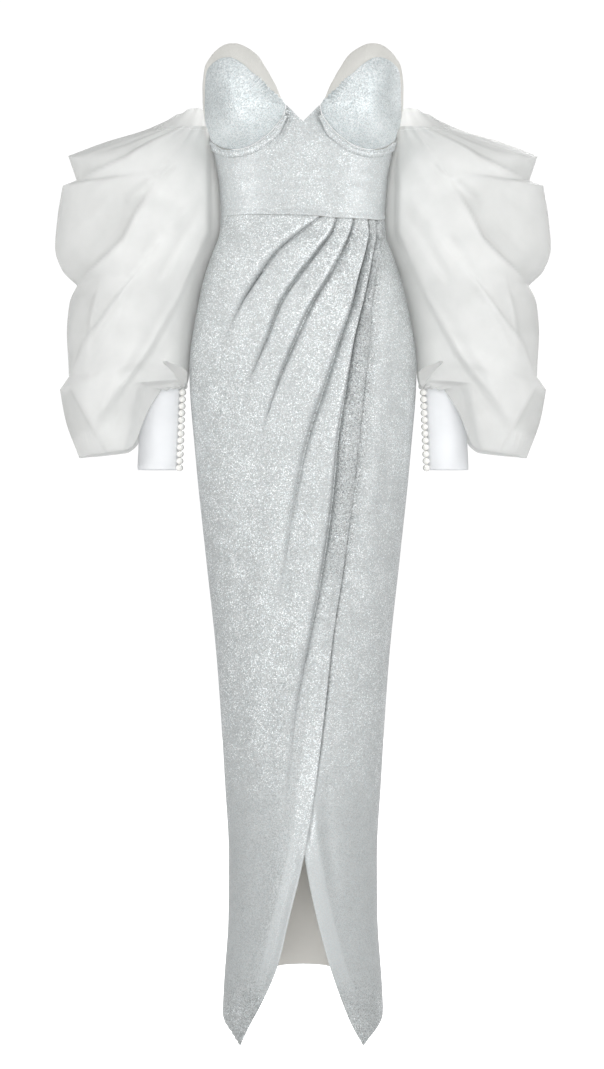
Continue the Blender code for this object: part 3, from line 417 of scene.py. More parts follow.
BODICE_CREASES = table(
    "out width line",
    (-0.0030, 0.010, [(0.020, 0.146), (0.032, 0.124), (0.046, 0.104)]),
    (-0.0030, 0.010, [(-0.020, 0.146), (-0.032, 0.124), (-0.046, 0.104)]),
    (-0.0010, 0.007, [(0.112, 0.024), (0.090, 0.034), (0.060, 0.036)]),
    (-0.0009, 0.006, [(0.114, 0.052), (0.098, 0.056), (0.078, 0.054)]),
    (-0.0010, 0.007, [(-0.114, 0.030), (-0.094, 0.042), (-0.066, 0.046)]),
    (-0.0008, 0.006, [(-0.113, 0.012), (-0.096, 0.020), (-0.080, 0.022)]),
    (0.0008, 0.009, [(0.030, 0.070), (0.012, 0.040), (0.006, 0.010)]),
)
SLEEVE_CREASES = table(
    "out width line",
    (-0.0050, 0.0050, [(0.177, 0.081), (0.199, 0.052), (0.220, 0.019), (0.237, 0.000)]),
    (-0.0080, 0.0060, [(0.212, 0.049), (0.224, 0.036), (0.254, 0.009)]),
    (0.0050, 0.0080, [(0.141, 0.034), (0.170, -0.002), (0.193, -0.026)]),
    (-0.0045, 0.0060, [(0.141, 0.009), (0.170, -0.035), (0.192, -0.074), (0.213, -0.107)]),
    (-0.0040, 0.0070, [(0.199, -0.027), (0.228, -0.067), (0.253, -0.107)]),
    (0.0045, 0.0090, [(0.220, -0.053), (0.246, -0.096), (0.267, -0.135)]),
    (-0.0040, 0.0080, [(0.170, -0.096), (0.192, -0.132), (0.217, -0.168)]),
    (-0.0040, 0.0070, [(0.253, -0.121), (0.282, -0.168), (0.303, -0.211)]),
    (0.0040, 0.0050, [(0.292, -0.114), (0.300, -0.143), (0.305, -0.168)]),
    (0.0035, 0.0100, [(0.152, 0.100), (0.164, 0.056), (0.190, 0.020)]),
    (-0.0035, 0.0080, [(0.240, 0.090), (0.285, 0.052), (0.318, 0.030)]),
    (0.0030, 0.0100, [(0.262, 0.030), (0.300, -0.004), (0.330, -0.028)]),
    (-0.0030, 0.0080, [(0.258, 0.004), (0.292, -0.030), (0.318, -0.060)]),
    (0.0040, 0.0110, [(0.222, -0.180), (0.256, -0.226), (0.284, -0.270)]),
    (-0.0035, 0.0080, [(0.196, -0.150), (0.232, -0.200), (0.262, -0.252)]),
    (-0.0030, 0.0060, [(0.250, -0.262), (0.262, -0.290), (0.272, -0.318)]),
)
CREASE_END_SHARE = 0.22

# Sleeves: each ring runs from an outer to an inner point in the front view, and has a depth front and back
SLEEVE_RINGS = table(
    "out height inner_height clear depth lap drop rise lean",
    (0.209, 0.130, 0.136, 0.0008, 0.036, 0.0, 0.005, 0.027, 0.025),
    (0.275, 0.113, 0.124, 0.0008, 0.046, 0.0, 0.012, 0.014, 0.025),
    (0.338, 0.090, 0.108, 0.0010, 0.056, 0.0, 0.014, 0.008, 0.025),
    (0.326, 0.055, 0.086, 0.0030, 0.062, 0.0, 0.010, 0.004, 0.025),
    (0.346, 0.047, 0.060, 0.0030, 0.068, 0.0, 0.006, 0.0, 0.025),
    (0.353, 0.005, 0.025, 0.0030, 0.074, 0.0, 0.0, 0.0, 0.025),
    (0.357, -0.041, -0.009, 0.0030, 0.078, 0.0, 0.0, 0.0, 0.025),
    (0.347, -0.074, -0.045, 0.0030, 0.080, 0.0, 0.0, 0.0, 0.025),
    (0.325, -0.097, -0.081, 0.0030, 0.080, 0.0, 0.0, 0.0, 0.025),
    (0.336, -0.122, -0.113, 0.0030, 0.078, 0.0, 0.0, 0.0, 0.025),
    (0.340, -0.165, -0.148, 0.0030, 0.075, 0.0, 0.0, 0.0, 0.025),
    (0.338, -0.204, -0.178, 0.0010, 0.070, 0.0, 0.0, 0.0, 0.022),
    (0.337, -0.228, -0.200, 0.0010, 0.065, 0.1, 0.0, 0.0, 0.018),
    (0.350, -0.247, -0.216, 0.0010, 0.060, 0.3, 0.0, 0.0, 0.014),
    (0.342, -0.290, -0.226, 0.0012, 0.060, 0.6, 0.0, 0.0, 0.010),
    (0.322, -0.345, -0.232, 0.0020, 0.056, 1.0, 0.0, 0.0, 0.006),
    (0.300, -0.338, -0.2365, 0.0030, 0.043, 1.0, 0.0, 0.0, 0.003),
    (0.272, -0.300, -0.2395, 0.0040, 0.037, 0.8, 0.0, 0.0, 0.0),
    (0.250, -0.270, -0.2425, 0.0050, 0.032, 0.5, 0.0, 0.0, 0.0),
)
SLEEVE_ROWS = 190
SLEEVE_COLUMNS = 240
SLEEVE_SQUARENESS = 2.3
SLEEVE_POINT = 1.65
RISE_LEAST = 0.45
RISE_SKEW = 1.15
LAP_BETWEEN = (0.42, 0.58)
LAP_SHARE = 0.82
FRONT_CROWDING = 0.35
SHARP_RINGS = (2, 3, 4, 8, 12, 13, 15)
SHARP_ACROSS = (0.70, 0.96)
SMOOTHING_ROUNDS = 3

# The placket: shares of the way round the sleeve, of its own edges and of the cloth beyond that stays put
PLACKET_TURN = (12 / 32, 14 / 32)
PLACKET_CLEAR = (8 / 32, 15.6 / 32)
PLACKET = table(
    "ring outer inner",
    (10.0, 12.00 / 32, 14.00 / 32),
    (12.2, 10.95 / 32, 11.05 / 32),
    (12.8, 11.60 / 32, 13.20 / 32),
    (13.6, 12.30 / 32, 14.80 / 32),
    (19.0, 13.60 / 32, 14.80 / 32),
)
PLACKET_END = 18.95

# Folds down the sleeve, in the front view, each with its raised side on the left as it is followed
# thin is how far the cloth below each fold lies in one layer, which also lays painted shade there
SLEEVE_FOLDS = table(
    "height reach thin line",
    (
        0.014, 0.060, 0.62,
        [(0.325, 0.051), (0.282, 0.067), (0.249, 0.084), (0.217, 0.106), (0.181, 0.123), (0.154, 0.136)],
    ),
    (0.016, 0.070, 0.78, [(0.321, -0.097), (0.279, -0.062), (0.254, -0.037), (0.236, 0.000), (0.216, 0.033)]),
    (0.013, 0.060, 0.45, [(0.332, -0.229), (0.312, -0.182), (0.292, -0.160), (0.253, -0.110)]),
    (
        0.017, 0.080, 0.10,
        [(0.135, 0.106), (0.134, -0.024), (0.174, -0.117), (0.217, -0.199), (0.298, -0.306)],
    ),
    (0.005, 0.020, 0.30, [(0.306, -0.176), (0.300, -0.143), (0.292, -0.110)]),
    (0.009, 0.050, 0.75, [(0.298, -0.306), (0.333, -0.243)]),
)
FOLD_SOFTNESS = 0.003
FOLD_END_SHARE = 0.15
FOLD_FALLS_OFF = 1.5
FOLD_LEAST_DEPTH = 0.03
FOLDS_END_AT = (15.7, 14.6)
BACK_FOLD_SHIFT = 0.034
BACK_FOLD_SHARE = 0.75
BACK_FOLD_TURN = (0.10, -0.40)

# Where the organza lies in one layer beside and under a fold, darkened there with painted shade, and where
# painted light lightens it beside the gown, which shades it
THIN_SOFTNESS = 0.0016
THIN_REACH = 0.070
THIN_PAST_END = 0.02
GOWN_SIDE_PAINTED_LIGHT = 0.42
GOWN_SIDE_LIGHT_WIDTH = 0.045

# The strip between the sleeve's front band and the gown, which lies deeper than the band
BAND_FOLD = 3
STRIP_SOFTNESS = 0.004
STRIP_DEPTH_LEFT = 0.60
STRIP_ENDS = (-0.070, 0.010)
STRIP_TURN = (0.0, 0.35)

# Gathers at the sleeve's ends: waves round it, and how far their pitch drifts, how often and from where
CUFF_GATHERS, ARM_GATHERS = table("count drift drifts phase", (26, 1.3, 3, 0.0), (17, 1.1, 2, 0.7))
CUFF_GATHER_DEPTH = 0.0016
CUFF_GATHER_STARTS = (16.2, 18.0)
CUFF_GATHER_ENDS = (19.0, 18.6)
ARM_GATHER_DEPTH = 0.0011
ARM_GATHER_ENDS = (2.6, 0.5)

# Cuffs, with angles in degrees
CUFF_TOP = -0.2460
CUFF_BOTTOM = -0.3620
CUFF_TOP_OUT = 0.2025
CUFF_BOTTOM_OUT = 0.2067
CUFF_TOP_HALF_WIDTH = 0.0325
CUFF_BOTTOM_HALF_WIDTH = 0.0317
CUFF_HALF_DEPTH = 0.026
CUFF_EASE = 0.0008
CUFF_COLUMNS = 131
CUFF_ROWS = 33
CUFF_LAP_EDGE = 20
CUFF_LAP_GAP = 3 * SEAM
CUFF_SWEEP = 390
CUFF_STEPS_IN = (335, 374)
CUFF_SWAY = 0.0011
CUFF_SWAY_WAVES = 3
CUFF_SWAY_PHASE = 40
CUFF_SWAY_TWIST = 9
CUFF_SWAY_RATE = 27
CUFF_SWAY_STARTS = (40, 80)
CUFF_SWAY_ENDS = (330, 300)

# Pearl buttons and their loops
BUTTONS = 12
BUTTON_RADIUS = 0.0047
BUTTON_ANGLE = 36
FIRST_BUTTON = -0.2515
LAST_BUTTON = -0.3595
BUTTON_SEGMENTS = 32
BUTTON_RINGS = 20
LOOP_RADIUS = 0.00062
LOOP_REACH = 0.0047
LOOP_HALF_HEIGHT = 0.0042
LOOP_BACK = 0.0006
LOOP_SWEEP = 130
LOOP_STEPS = 19
LOOP_SIDES = 8
OFF_AXIS = (0.13, 0.97, 0.21)

# Glitter flakes: size, tones by level of brightness with painted glints as the brightest, tints, tilt, the
# cloud of lighter and darker patches that they gather in, and how the mark of tone and painted light shifts
# them
FLAKE = 0.00106
FLAKE_DARK = 0.52
FLAKE_LOW = 0.17
FLAKE_HIGH = 0.10
FLAKE_GLINT = (0.97, 0.99, 1.0)
FLAKE_START = 0.2
FLAKE_RANGE = 0.84
FLAKE_STOPS = (0.0, FLAKE_START, 0.578, 0.889, 1.0)
FLAKE_TINTS = [
    (0.0, (0.97, 0.965, 0.955)),
    (0.45, (1, 1, 1)),
    (0.8, (0.94, 1.0, 1.0)),
    (1.0, (0.93, 0.96, 1.0)),
]
FLAKE_TILT = 0.55
FLAKE_ROUGHNESS = 0.44
FLAKE_METALLIC = 0.22
PATCH_GAIN = 0.46
PATCH_OFFSET = -0.225
PATCHES_PER_METRE = 34
SHINE_SHIFT = 0.24
GLITTERS = table(
    "key name color contrast",
    ("glitter", "fine_glitter", (0.535, 0.550, 0.553), 1.25),
    ("cup_glitter", "fine_cup_glitter", (0.665, 0.705, 0.715), 2.1),
)

# Cloths, with the width of their threads and the height of their weave
CLOTHS = table(
    "key name color roughness thread relief cloudiness",
    ("knit_back", "knit_wrong_side", (0.93, 0.925, 0.90), 0.75, 0.0009, 0.00015, 0.03),
    ("ivory", "fine_ivory", (0.72, 0.715, 0.68), 0.6, 0.0006, 0.0001, 0.03),
    ("taupe", "fine_taupe", (0.96, 0.945, 0.905), 0.65, 0.0006, 0.0001, 0.02),
    ("organza", "fine_organza", (0.885, 0.892, 0.882), 0.5, 0.0007, 0.00012, 0.03),
    ("satin", "fine_satin", (0.865, 0.880, 0.900), 0.38, 0.0005, 0.00004, 0.02),
    ("thread", "sewing_thread", (0.80, 0.82, 0.83), 0.45, 0.0004, 0.0001, 0.03),
    ("loop", "loop_cord", (0.30, 0.295, 0.26), 0.6, 0.0004, 0.0001, 0.03),
)
CLOUDS_PER_METRE = 22
CLOUD_STOPS = (0.3, 0.7)
WAVE_SCALE = 0.314
ORGANZA_ALPHA = 0.52
# Organza tones along its mark: lighter with painted light beside the gown, plain where the cloth lies double,
# darker with painted shade where it lies in one layer
DOUBLE_PLACE = 0.3
ORGANZA_TONES = [(0.0, (1.09, 1.09, 1.085)), (DOUBLE_PLACE, (1, 1, 1)), (1.0, (0.79, 0.79, 0.785))]

# Pearl and the zip's metal
PEARL_COLOR = (0.90, 0.88, 0.84)
PEARL_ROUGHNESS = 0.18
PEARL_COAT = {"Coat Weight": 0.6, "Coat Roughness": 0.06}
PEARL_CLOUDS_PER_METRE = 190
PEARL_TONES = [(0.35, (0.93, 0.915, 0.875)), (0.55, (0.95, 0.94, 0.91)), (0.7, (0.93, 0.94, 0.93))]
METAL_COLOR = (0.78, 0.78, 0.79)
METAL_ROUGHNESS = 0.28
METAL_GRAINS_PER_METRE = 900
METAL_RELIEF = 0.0001

# The Mix node's sockets for two colours, and its colour result
MIX_FIRST = 6
MIX_SECOND = 7
MIX_RESULT = 2

# The photo's frame, the camera, the surround and the lights
CAMERA_DISTANCE = 4.0
CAMERA_HEIGHT = -0.455
CAMERA_ACROSS = -0.0014
SENSOR = 36
FRAME_HEIGHT = 1.539
FLOOR_HEIGHT = -1.185
FLOOR_RADIUS = 6.0
FLOOR_SEGMENTS = 96
FLOOR_COLOR = (0.82, 0.82, 0.82)
FLOOR_ROUGHNESS = 0.9
FLOOR_LIFT = 1.0
WORLD_LIGHT = 0.38
SEEN_LIGHT = 1.04
LIGHTS = table(
    "name size energy place target",
    ("key", 1.6, 16, (0.45, -2.4, 1.1), (0, 0, 0.0)),
    ("front", 1.4, 18, (-0.2, -3.0, -0.6), (0, 0, -0.5)),
    ("side left", 1.4, 21, (1.9, -1.3, 0.6), (0, 0, -0.1)),
    ("side right", 1.4, 21, (-1.9, -1.3, 0.6), (0, 0, -0.1)),
    ("back", 1.8, 60, (0.5, 2.6, 1.0), (0, 0, -0.3)),
)


def smooth_through(places, values, at, corners=()):
    """A smooth curve through rising places and their values, with a sharp turn at each numbered corner."""
    places = np.asarray(places, float)
    values = np.asarray(values, float)
    at = np.clip(at, places[0], places[-1])
    wide = (1,) * (values.ndim - 1)
    steps = np.diff(places).reshape((-1,) + wide)
    slopes = np.diff(values, axis=0) / steps
    product = slopes[:-1] * slopes[1:]
    total = slopes[:-1] + slopes[1:]
    inner = np.where(product > 0, 2 * product / np.where(total == 0, 1, total), 0)
    arriving = np.concatenate([slopes[:1], inner, slopes[-1:]])
    leaving = arriving.copy()
    for corner in corners:
        arriving[corner] = slopes[corner - 1]
        leaving[corner] = slopes[corner]
    index = np.clip(np.searchsorted(places, at) - 1, 0, len(steps) - 1)
    step = steps[index]
    share = (at - places[index]).reshape(np.shape(at) + wide) / step
    rise = values[index + 1] - values[index]
    bend = share * (1 - share)
    smooth = values[index] + rise * share * share * (3 - 2 * share)
    return smooth + bend * ((1 - share) * leaving[index] - share * arriving[index + 1]) * step


def column_of(rows, name, at):
    """The named column of a table, read at places in its first column."""
    rows = sorted(rows)
    at = np.asarray(at, float)
    values = [getattr(row, name) for row in rows]
    return smooth_through([row[0] for row in rows], values, at.ravel()).reshape(at.shape)


def ramp(low, high, value):
    """0 below low, 1 above high, and a soft step between."""
    share = np.clip((value - low) / (high - low), 0, 1)
    return share * share * (3 - 2 * share)


def bump(distance, width):
    """1 on a line and softly down to 0 beside it."""
    return np.exp(-((distance / width) ** 2))


def signed_power(value, power):
    return np.sign(value) * np.abs(value) ** power


def unit(vectors):
    length = np.linalg.norm(vectors, axis=-1, keepdims=True)
    return vectors / np.where(length == 0, 1, length)


def body_size(height):
    return tuple(column_of(BODY, name, height) for name in ("half_width", "front", "back"))


def body_point(angle, height, out=0.0):
    """Points and outward normals on the filled-out form, moved out by a distance. Angles are in radians."""
    angle, height, out = np.broadcast_arrays(angle, height, out)
    half_width, front, back = body_size(height)
    sizes = zip(body_size(height + SLOPE_STEP), body_size(height - SLOPE_STEP))
    side_slope, *depth_slopes = [(above - below) / (2 * SLOPE_STEP) for above, below in sizes]
    in_front = np.cos(angle) > 0
    depth = np.where(in_front, front, back)
    depth_slope = np.where(in_front, *depth_slopes)
    across = signed_power(np.sin(angle), 2 / SQUARENESS)
    along = signed_power(np.cos(angle), 2 / SQUARENESS)
    place = np.stack([half_width * across, -depth * along, height], axis=-1)
    normal_out = signed_power(across, SQUARENESS - 1) / half_width
    normal_back = -signed_power(along, SQUARENESS - 1) / depth
    normal_up = -np.abs(across) ** SQUARENESS * side_slope / half_width
    normal_up = normal_up - np.abs(along) ** SQUARENESS * depth_slope / depth
    normal = unit(np.stack([normal_out, normal_back, normal_up], axis=-1))
    return place + out[..., None] * normal, normal


def front_angle(across, height):
    """The angle at which the form's front lies this far across."""
    share = np.clip(np.abs(across) / body_size(height)[0], 0, 1)
    return np.sign(across) * np.arcsin(share ** (SQUARENESS / 2))


def arc_gap(distance, height):
    """The angle that a distance along the form takes up at a side seam."""
    return distance / body_size(height)[1]


def edge_height(edge, angle):
    """An edge's height at angles in radians."""
    return column_of(edge, "height", np.degrees(angle))


def rows_between(first, last, rows, crowding=1.0):
    """Rows of values from one row to another, closer together near the first if crowded."""
    return first + np.linspace(0, 1, rows)[:, None] ** crowding * (last - first)


def line_offset(across, height, line):
    """Signed distance from a line of points in a view, positive on its left, and how far along it."""
    points = np.stack([across, height], axis=-1)
    line = np.array(line)
    best = np.full(across.shape, np.inf)
    signed, along = np.zeros((2, *across.shape))
    lengths = np.linalg.norm(np.diff(line, axis=0), axis=1)
    starts = np.concatenate([[0], np.cumsum(lengths)])
    for start, end, length, before in zip(line[:-1], line[1:], lengths, starts):
        direction = (end - start) / length
        offset = points - start
        share = np.clip(offset @ direction, 0, length)
        distance = np.linalg.norm(offset - share[..., None] * direction, axis=-1)
        side = np.sign(direction[0] * offset[..., 1] - direction[1] * offset[..., 0])
        closer = distance < best
        best = np.where(closer, distance, best)
        signed = np.where(closer, side * distance, signed)
        along = np.where(closer, (before + share) / starts[-1], along)
    return signed, along


def crease_lift(across, height, creases):
    """How far creases stand out: soft troughs and ridges along lines in a view."""
    lift = np.zeros(across.shape)
    for crease in creases:
        signed, along = line_offset(across, height, crease.line)
        ends = ramp(0, CREASE_END_SHARE, along) * ramp(1, 1 - CREASE_END_SHARE, along)
        lift += crease.out * bump(signed, crease.width) * ends
    return lift


def smoothed(points, rounds):
    """A closed tube of points with each inner ring eased towards its neighbours."""
    for _ in range(rounds):
        around = np.roll(points, 1, axis=1) + np.roll(points, -1, axis=1)
        along = (points[:-2] + points[2:]) / 2
        eased = points[1:-1] / 2 + around[1:-1] / 8 + along / 4
        points = np.concatenate([points[:1], eased, points[-1:]])
    return points


def grid_normals(points, reference, closed=False):
    """Normals that halve the turn between neighbouring cells, as a whole on the reference's side."""
    steps = unit(np.diff(points, axis=0))
    along = np.concatenate([steps[:1], steps[1:] + steps[:-1], steps[-1:]])
    if closed:
        steps = unit(np.roll(points, -1, axis=1) - points)
        around = steps + np.roll(steps, 1, axis=1)
    else:
        steps = unit(np.diff(points, axis=1))
        around = np.concatenate([steps[:, :1], steps[:, 1:] + steps[:, :-1], steps[:, -1:]], axis=1)
    normal = unit(np.cross(around, along))
    return normal * np.sign(np.sum(normal * reference))


def run_of(points, axis, closed=False):
    """The distance run along an axis of a grid of points, and once more round to the start if closed."""
    if closed:
        points = np.concatenate([points, points[:, :1]], axis=1)
    steps = np.linalg.norm(np.diff(points, axis=axis), axis=-1)
    return np.cumsum(np.insert(steps, 0, 0, axis=axis), axis=axis)


def edge_first(grid, edge):
    """The grid turned so that the named edge, such as last_column, is its first row."""
    if edge.endswith("column"):
        grid = grid.swapaxes(0, 1)
    return grid[::-1] if edge.startswith("last") else grid


def tuck_edges(points, normal, **tucks):
    """Rolls each named edge inward, as at a turned edge or a seam, by a depth within a width."""
    points = points.copy()
    for edge, (depth, width) in tucks.items():
        grid = edge_first(points, edge)
        roll = depth * (1 - np.sqrt(np.clip(run_of(grid, 0) / width, 0, 1)))
        grid -= edge_first(normal, edge) * roll[..., None]
    return points


def on_form(angle, height, lift, **tucks):
    """A panel's points and normals on the filled-out form, with its edges rolled inward."""
    outer, normal = body_point(angle, height, lift)
    outer = tuck_edges(outer, normal, **tucks)
    return outer, grid_normals(outer, normal)


def shell(name, outer, normal, thickness, cloths, closed=False, pole=False, missing=None, marks=None):
    """A closed cloth wall with smooth skins from a grid of points, and its UV map in metres."""
    rows, columns = outer.shape[:2]
    count = rows * columns
    index = np.arange(count).reshape(rows, columns)
    down = run_of(outer, 0)
    if closed:
        index, down = (np.concatenate([grid, grid[:, :1]], axis=1) for grid in (index, down))
    if pole:
        index[0] = index[0, 0]
    keep = np.ones(np.subtract(index.shape, 1), bool) if missing is None else ~missing
    corners, flats = (
        np.stack([grid[:-1, :-1], grid[:-1, 1:], grid[1:, 1:], grid[1:, :-1]], axis=2)[keep]
        for grid in (index, np.stack([run_of(outer, 1, closed), down], axis=-1))
    )
    following = np.roll(corners, -1, axis=1)
    forward = (corners * count + following).ravel()
    backward = (following * count + corners).ravel()
    rim = ~np.isin(forward, backward) & (corners != following).ravel()
    start = corners.ravel()[rim]
    end = following.ravel()[rim]
    start_flat, end_flat = (grid.reshape(-1, 2)[rim] for grid in (flats, np.roll(flats, -1, axis=1)))
    strip = np.stack([end, start, start + count, end + count], axis=1)
    strip_flat = np.stack([end_flat, start_flat, start_flat, end_flat], axis=1)
    points = np.concatenate([outer.reshape(-1, 3), (outer - normal * thickness).reshape(-1, 3)])
    flats = np.concatenate([flats, flats[:, ::-1], strip_flat])
    faces = np.concatenate([corners, corners[:, ::-1] + count, strip])
    used, places = np.unique(faces, return_inverse=True)
    faces = [dict(zip(*pair)) for pair in zip(places.reshape(faces.shape).tolist(), flats.tolist())]

    mesh = bpy.data.meshes.new(name)
    mesh.from_pydata(points[used].tolist(), [], [list(face) for face in faces])
    places = [place for face in faces for place in face.values()]
    mesh.uv_layers.new(name="metres").data.foreach_set("uv", np.array(places).ravel())
    for cloth in cloths:
        mesh.materials.append(cloth)
    skins = np.repeat([0, len(cloths) - 1, 0], [len(corners), len(corners), len(strip)])
    mesh.polygons.foreach_set("material_index", skins)
    built = bmesh.new()
    built.from_mesh(mesh)
    if built.calc_volume(signed=True) < 0:
        bmesh.ops.reverse_faces(built, faces=built.faces)
    built.to_mesh(mesh)
    built.free()
    for mark, grid in (marks or {}).items():
        values = np.tile(grid.ravel(), 2)[used].astype(np.float32)
        mesh.attributes.new(mark, "FLOAT", "POINT").data.foreach_set("value", values)
    mesh.shade_smooth()
    mesh.set_sharp_from_angle(angle=math.radians(SHARP_FROM))
    return add_piece(name, mesh)


def add_piece(name, data):
    obj = bpy.data.objects.new(name, data)
    bpy.context.scene.collection.objects.link(obj)
    return obj


def mesh_of(name, built, material):
    """A smooth mesh in one material from a bmesh."""
    mesh = bpy.data.meshes.new(name)
    built.to_mesh(mesh)
    built.free()
    mesh.shade_smooth()
    mesh.materials.append(material)
    return mesh


def dress(obj, slot, *nodes):
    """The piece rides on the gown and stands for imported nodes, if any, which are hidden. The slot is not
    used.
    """
    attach(obj, BODY_NAME)
    if nodes:
        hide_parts(*nodes)
    return obj


def sew(node, slot, outer, normal, thickness, cloths, name=None, **wall):
    """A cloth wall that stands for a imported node."""
    return dress(shell(name or f"{node}_cloth", outer, normal, thickness, cloths, **wall), slot, node)


def stitch(name, paths, material, slot, lift=STITCH_RADIUS):
    """Short threads along paths of points with normals, joined in one mesh."""
    built = bmesh.new()
    for points, normals in paths:
        run = np.insert(np.cumsum(np.linalg.norm(np.diff(points, axis=0), axis=1)), 0, 0)
        for place in np.arange(STITCH_PITCH, run[-1] - STITCH_PITCH, STITCH_PITCH):
            middle, ahead, normal = (
                np.array([np.interp(at, run, axis) for axis in values.T])
                for at, values in ((place, points), (place + STITCH_LENGTH, points), (place, normals))
            )
            along = unit(ahead - middle) * STITCH_LENGTH / 2
            up = unit(normal) * STITCH_RADIUS
            side = unit(np.cross(along, up)) * STITCH_RADIUS
            centre = middle + unit(normal) * lift
            tips = [built.verts.new(centre + along), built.verts.new(centre - along)]
            girth = [built.verts.new(centre + offset) for offset in (up, side, -up, -side)]
            for one, two in zip(girth, girth[1:] + girth[:1]):
                built.faces.new((tips[0], one, two))
                built.faces.new((tips[1], two, one))
    bmesh.ops.recalc_face_normals(built, faces=built.faces)
    dress(add_piece(name, mesh_of(name, built, material)), slot)


def stitch_edges(name, outer, normal, insets, material, slot="glitter_cloth", **lift):
    """Stitches along lines that run a distance in from the named edges."""
    paths = []
    for edge, inset in insets.items():
        grid, faces = edge_first(outer, edge), edge_first(normal, edge)
        rows = [min(np.searchsorted(run, inset), len(grid) - 1) for run in run_of(grid, 0).T]
        columns = np.arange(len(rows))
        paths.append((grid[rows, columns], faces[rows, columns]))
    stitch(name, paths, material, slot, **lift)


def add_node(tree, kind, output=0, inputs=None, **settings):
    """An output of a new shader node, with its settings, and inputs given as values or as sockets to link."""
    made = tree.nodes.new(f"ShaderNode{kind}")
    for name, value in settings.items():
        setattr(made, name, value)
    for key, value in (inputs or {}).items():
        if isinstance(value, bpy.types.NodeSocket):
            tree.links.new(value, made.inputs[key])
        else:
            made.inputs[key].default_value = value
    return made.outputs[output]


def calculate(tree, operation, *values):
    return add_node(tree, "Math", inputs=dict(enumerate(values)), operation=operation)


def vector_of(tree, operation, *values, **named):
    return add_node(tree, "VectorMath", inputs={**dict(enumerate(values)), **named}, operation=operation)


def mark_of(tree, name):
    return add_node(tree, "Attribute", "Fac", attribute_name=name)


def noise(tree, scale, detail, **more):
    """Noise in the object's own coordinates."""
    place = add_node(tree, "TexCoord", "Object")
    return add_node(tree, "TexNoise", "Fac", {"Vector": place, "Scale": scale, "Detail": detail, **more})


def multiplied(tree, color, tone):
    inputs = {"Factor": 1.0, MIX_FIRST: color, MIX_SECOND: tone}
    return add_node(tree, "Mix", MIX_RESULT, inputs, data_type="RGBA", blend_type="MULTIPLY")


def scaled(color, factor):
    return tuple(tone * factor for tone in color)


def steps_of(tree, factor, stops):
    """A colour ramp with stops of (place, colour)."""
    color = add_node(tree, "ValToRGB", "Color", {"Fac": factor})
    elements = color.node.color_ramp.elements
    while len(elements) < len(stops):
        elements.new(0.5)
    for element, (place, tone) in zip(elements, stops):
        element.position = place
        element.color = (*tone, 1)
    return color


def new_material(name, color, roughness, constants=None):
    """A material whose even values stand on the shader's own sockets, and its node tree."""
    material = bpy.data.materials.new(name)
    material.use_nodes = True
    inputs = material.node_tree.nodes["Principled BSDF"].inputs
    for key, value in {"Base Color": (*color, 1), "Roughness": roughness, **(constants or {})}.items():
        inputs[key].default_value = value
    return material, material.node_tree


def feed(tree, key, socket, shader="Principled BSDF"):
    tree.links.new(socket, tree.nodes[shader].inputs[key])


def feed_relief(tree, height, strength, distance):
    """Bump from a height, on the shader's normal."""
    inputs = {"Height": height, "Strength": strength, "Distance": distance}
    feed(tree, "Normal", add_node(tree, "Bump", "Normal", inputs))


def glitter_material(name, base, contrast):
    """Knit cloth covered in fine foil flakes: each cell has its own brightness, tint and tilt; the brightest
    are painted glints.
    """
    material, tree = new_material(name, base, FLAKE_ROUGHNESS, {"Metallic": FLAKE_METALLIC})
    place = add_node(tree, "TexCoord", "Object")
    flakes = add_node(tree, "TexVoronoi", "Color", {"Vector": place, "Scale": 1 / FLAKE})
    red = add_node(tree, "SeparateColor", "Red", {"Color": flakes})
    clouds = noise(tree, scale=PATCHES_PER_METRE, detail=3, Roughness=0.6)
    patches = calculate(tree, "MULTIPLY_ADD", clouds, PATCH_GAIN, PATCH_OFFSET)
    gain = calculate(tree, "ADD", mark_of(tree, "spread"), 1.0)
    chance = calculate(tree, "SUBTRACT", calculate(tree, "ADD", red, patches), 0.5)
    chance = calculate(tree, "ADD", calculate(tree, "MULTIPLY", chance, gain), 0.5)
    shift = calculate(tree, "MULTIPLY", mark_of(tree, "tone_and_painted_light"), SHINE_SHIFT)
    chance = calculate(tree, "ADD", chance, shift)
    levels = (FLAKE_DARK, 1 - FLAKE_LOW * contrast, 1, 1 + FLAKE_HIGH * contrast)
    tones = [scaled(base, level) for level in levels] + [FLAKE_GLINT]
    spread = calculate(tree, "MULTIPLY_ADD", chance, FLAKE_RANGE, FLAKE_START)
    brightness = steps_of(tree, spread, list(zip(FLAKE_STOPS, tones)))
    tint = steps_of(tree, red.node.outputs["Green"], FLAKE_TINTS)
    feed(tree, "Base Color", multiplied(tree, brightness, tint))
    lean = vector_of(tree, "SUBTRACT", flakes, (0.5, 0.5, 0.5))
    tilt = vector_of(tree, "SCALE", lean, Scale=calculate(tree, "MULTIPLY", gain, FLAKE_TILT))
    tilted = vector_of(tree, "ADD", add_node(tree, "NewGeometry", "Normal"), tilt)
    feed(tree, "Normal", vector_of(tree, "NORMALIZE", tilted))
    return material


def cloth_material(name, base, roughness, thread, relief, cloudiness):
    """Woven cloth: a fine weave of threads of this width in the bump, and soft uneven colour."""
    material, tree = new_material(name, base, roughness)
    light = tuple(min(tone, 1) for tone in scaled(base, 1 + cloudiness))
    stops = list(zip(CLOUD_STOPS, (scaled(base, 1 - 2 * cloudiness), light)))
    feed(tree, "Base Color", steps_of(tree, noise(tree, scale=CLOUDS_PER_METRE, detail=4), stops))
    inputs = {"Scale": WAVE_SCALE / thread, "Distortion": 0.4, "Detail": 1.0}
    inputs["Vector"] = add_node(tree, "UVMap", "UV", uv_map="metres")
    waves = [add_node(tree, "TexWave", "Fac", inputs, bands_direction=direction) for direction in "XY"]
    feed_relief(tree, calculate(tree, "ADD", *waves), strength=0.5, distance=relief)
    return material


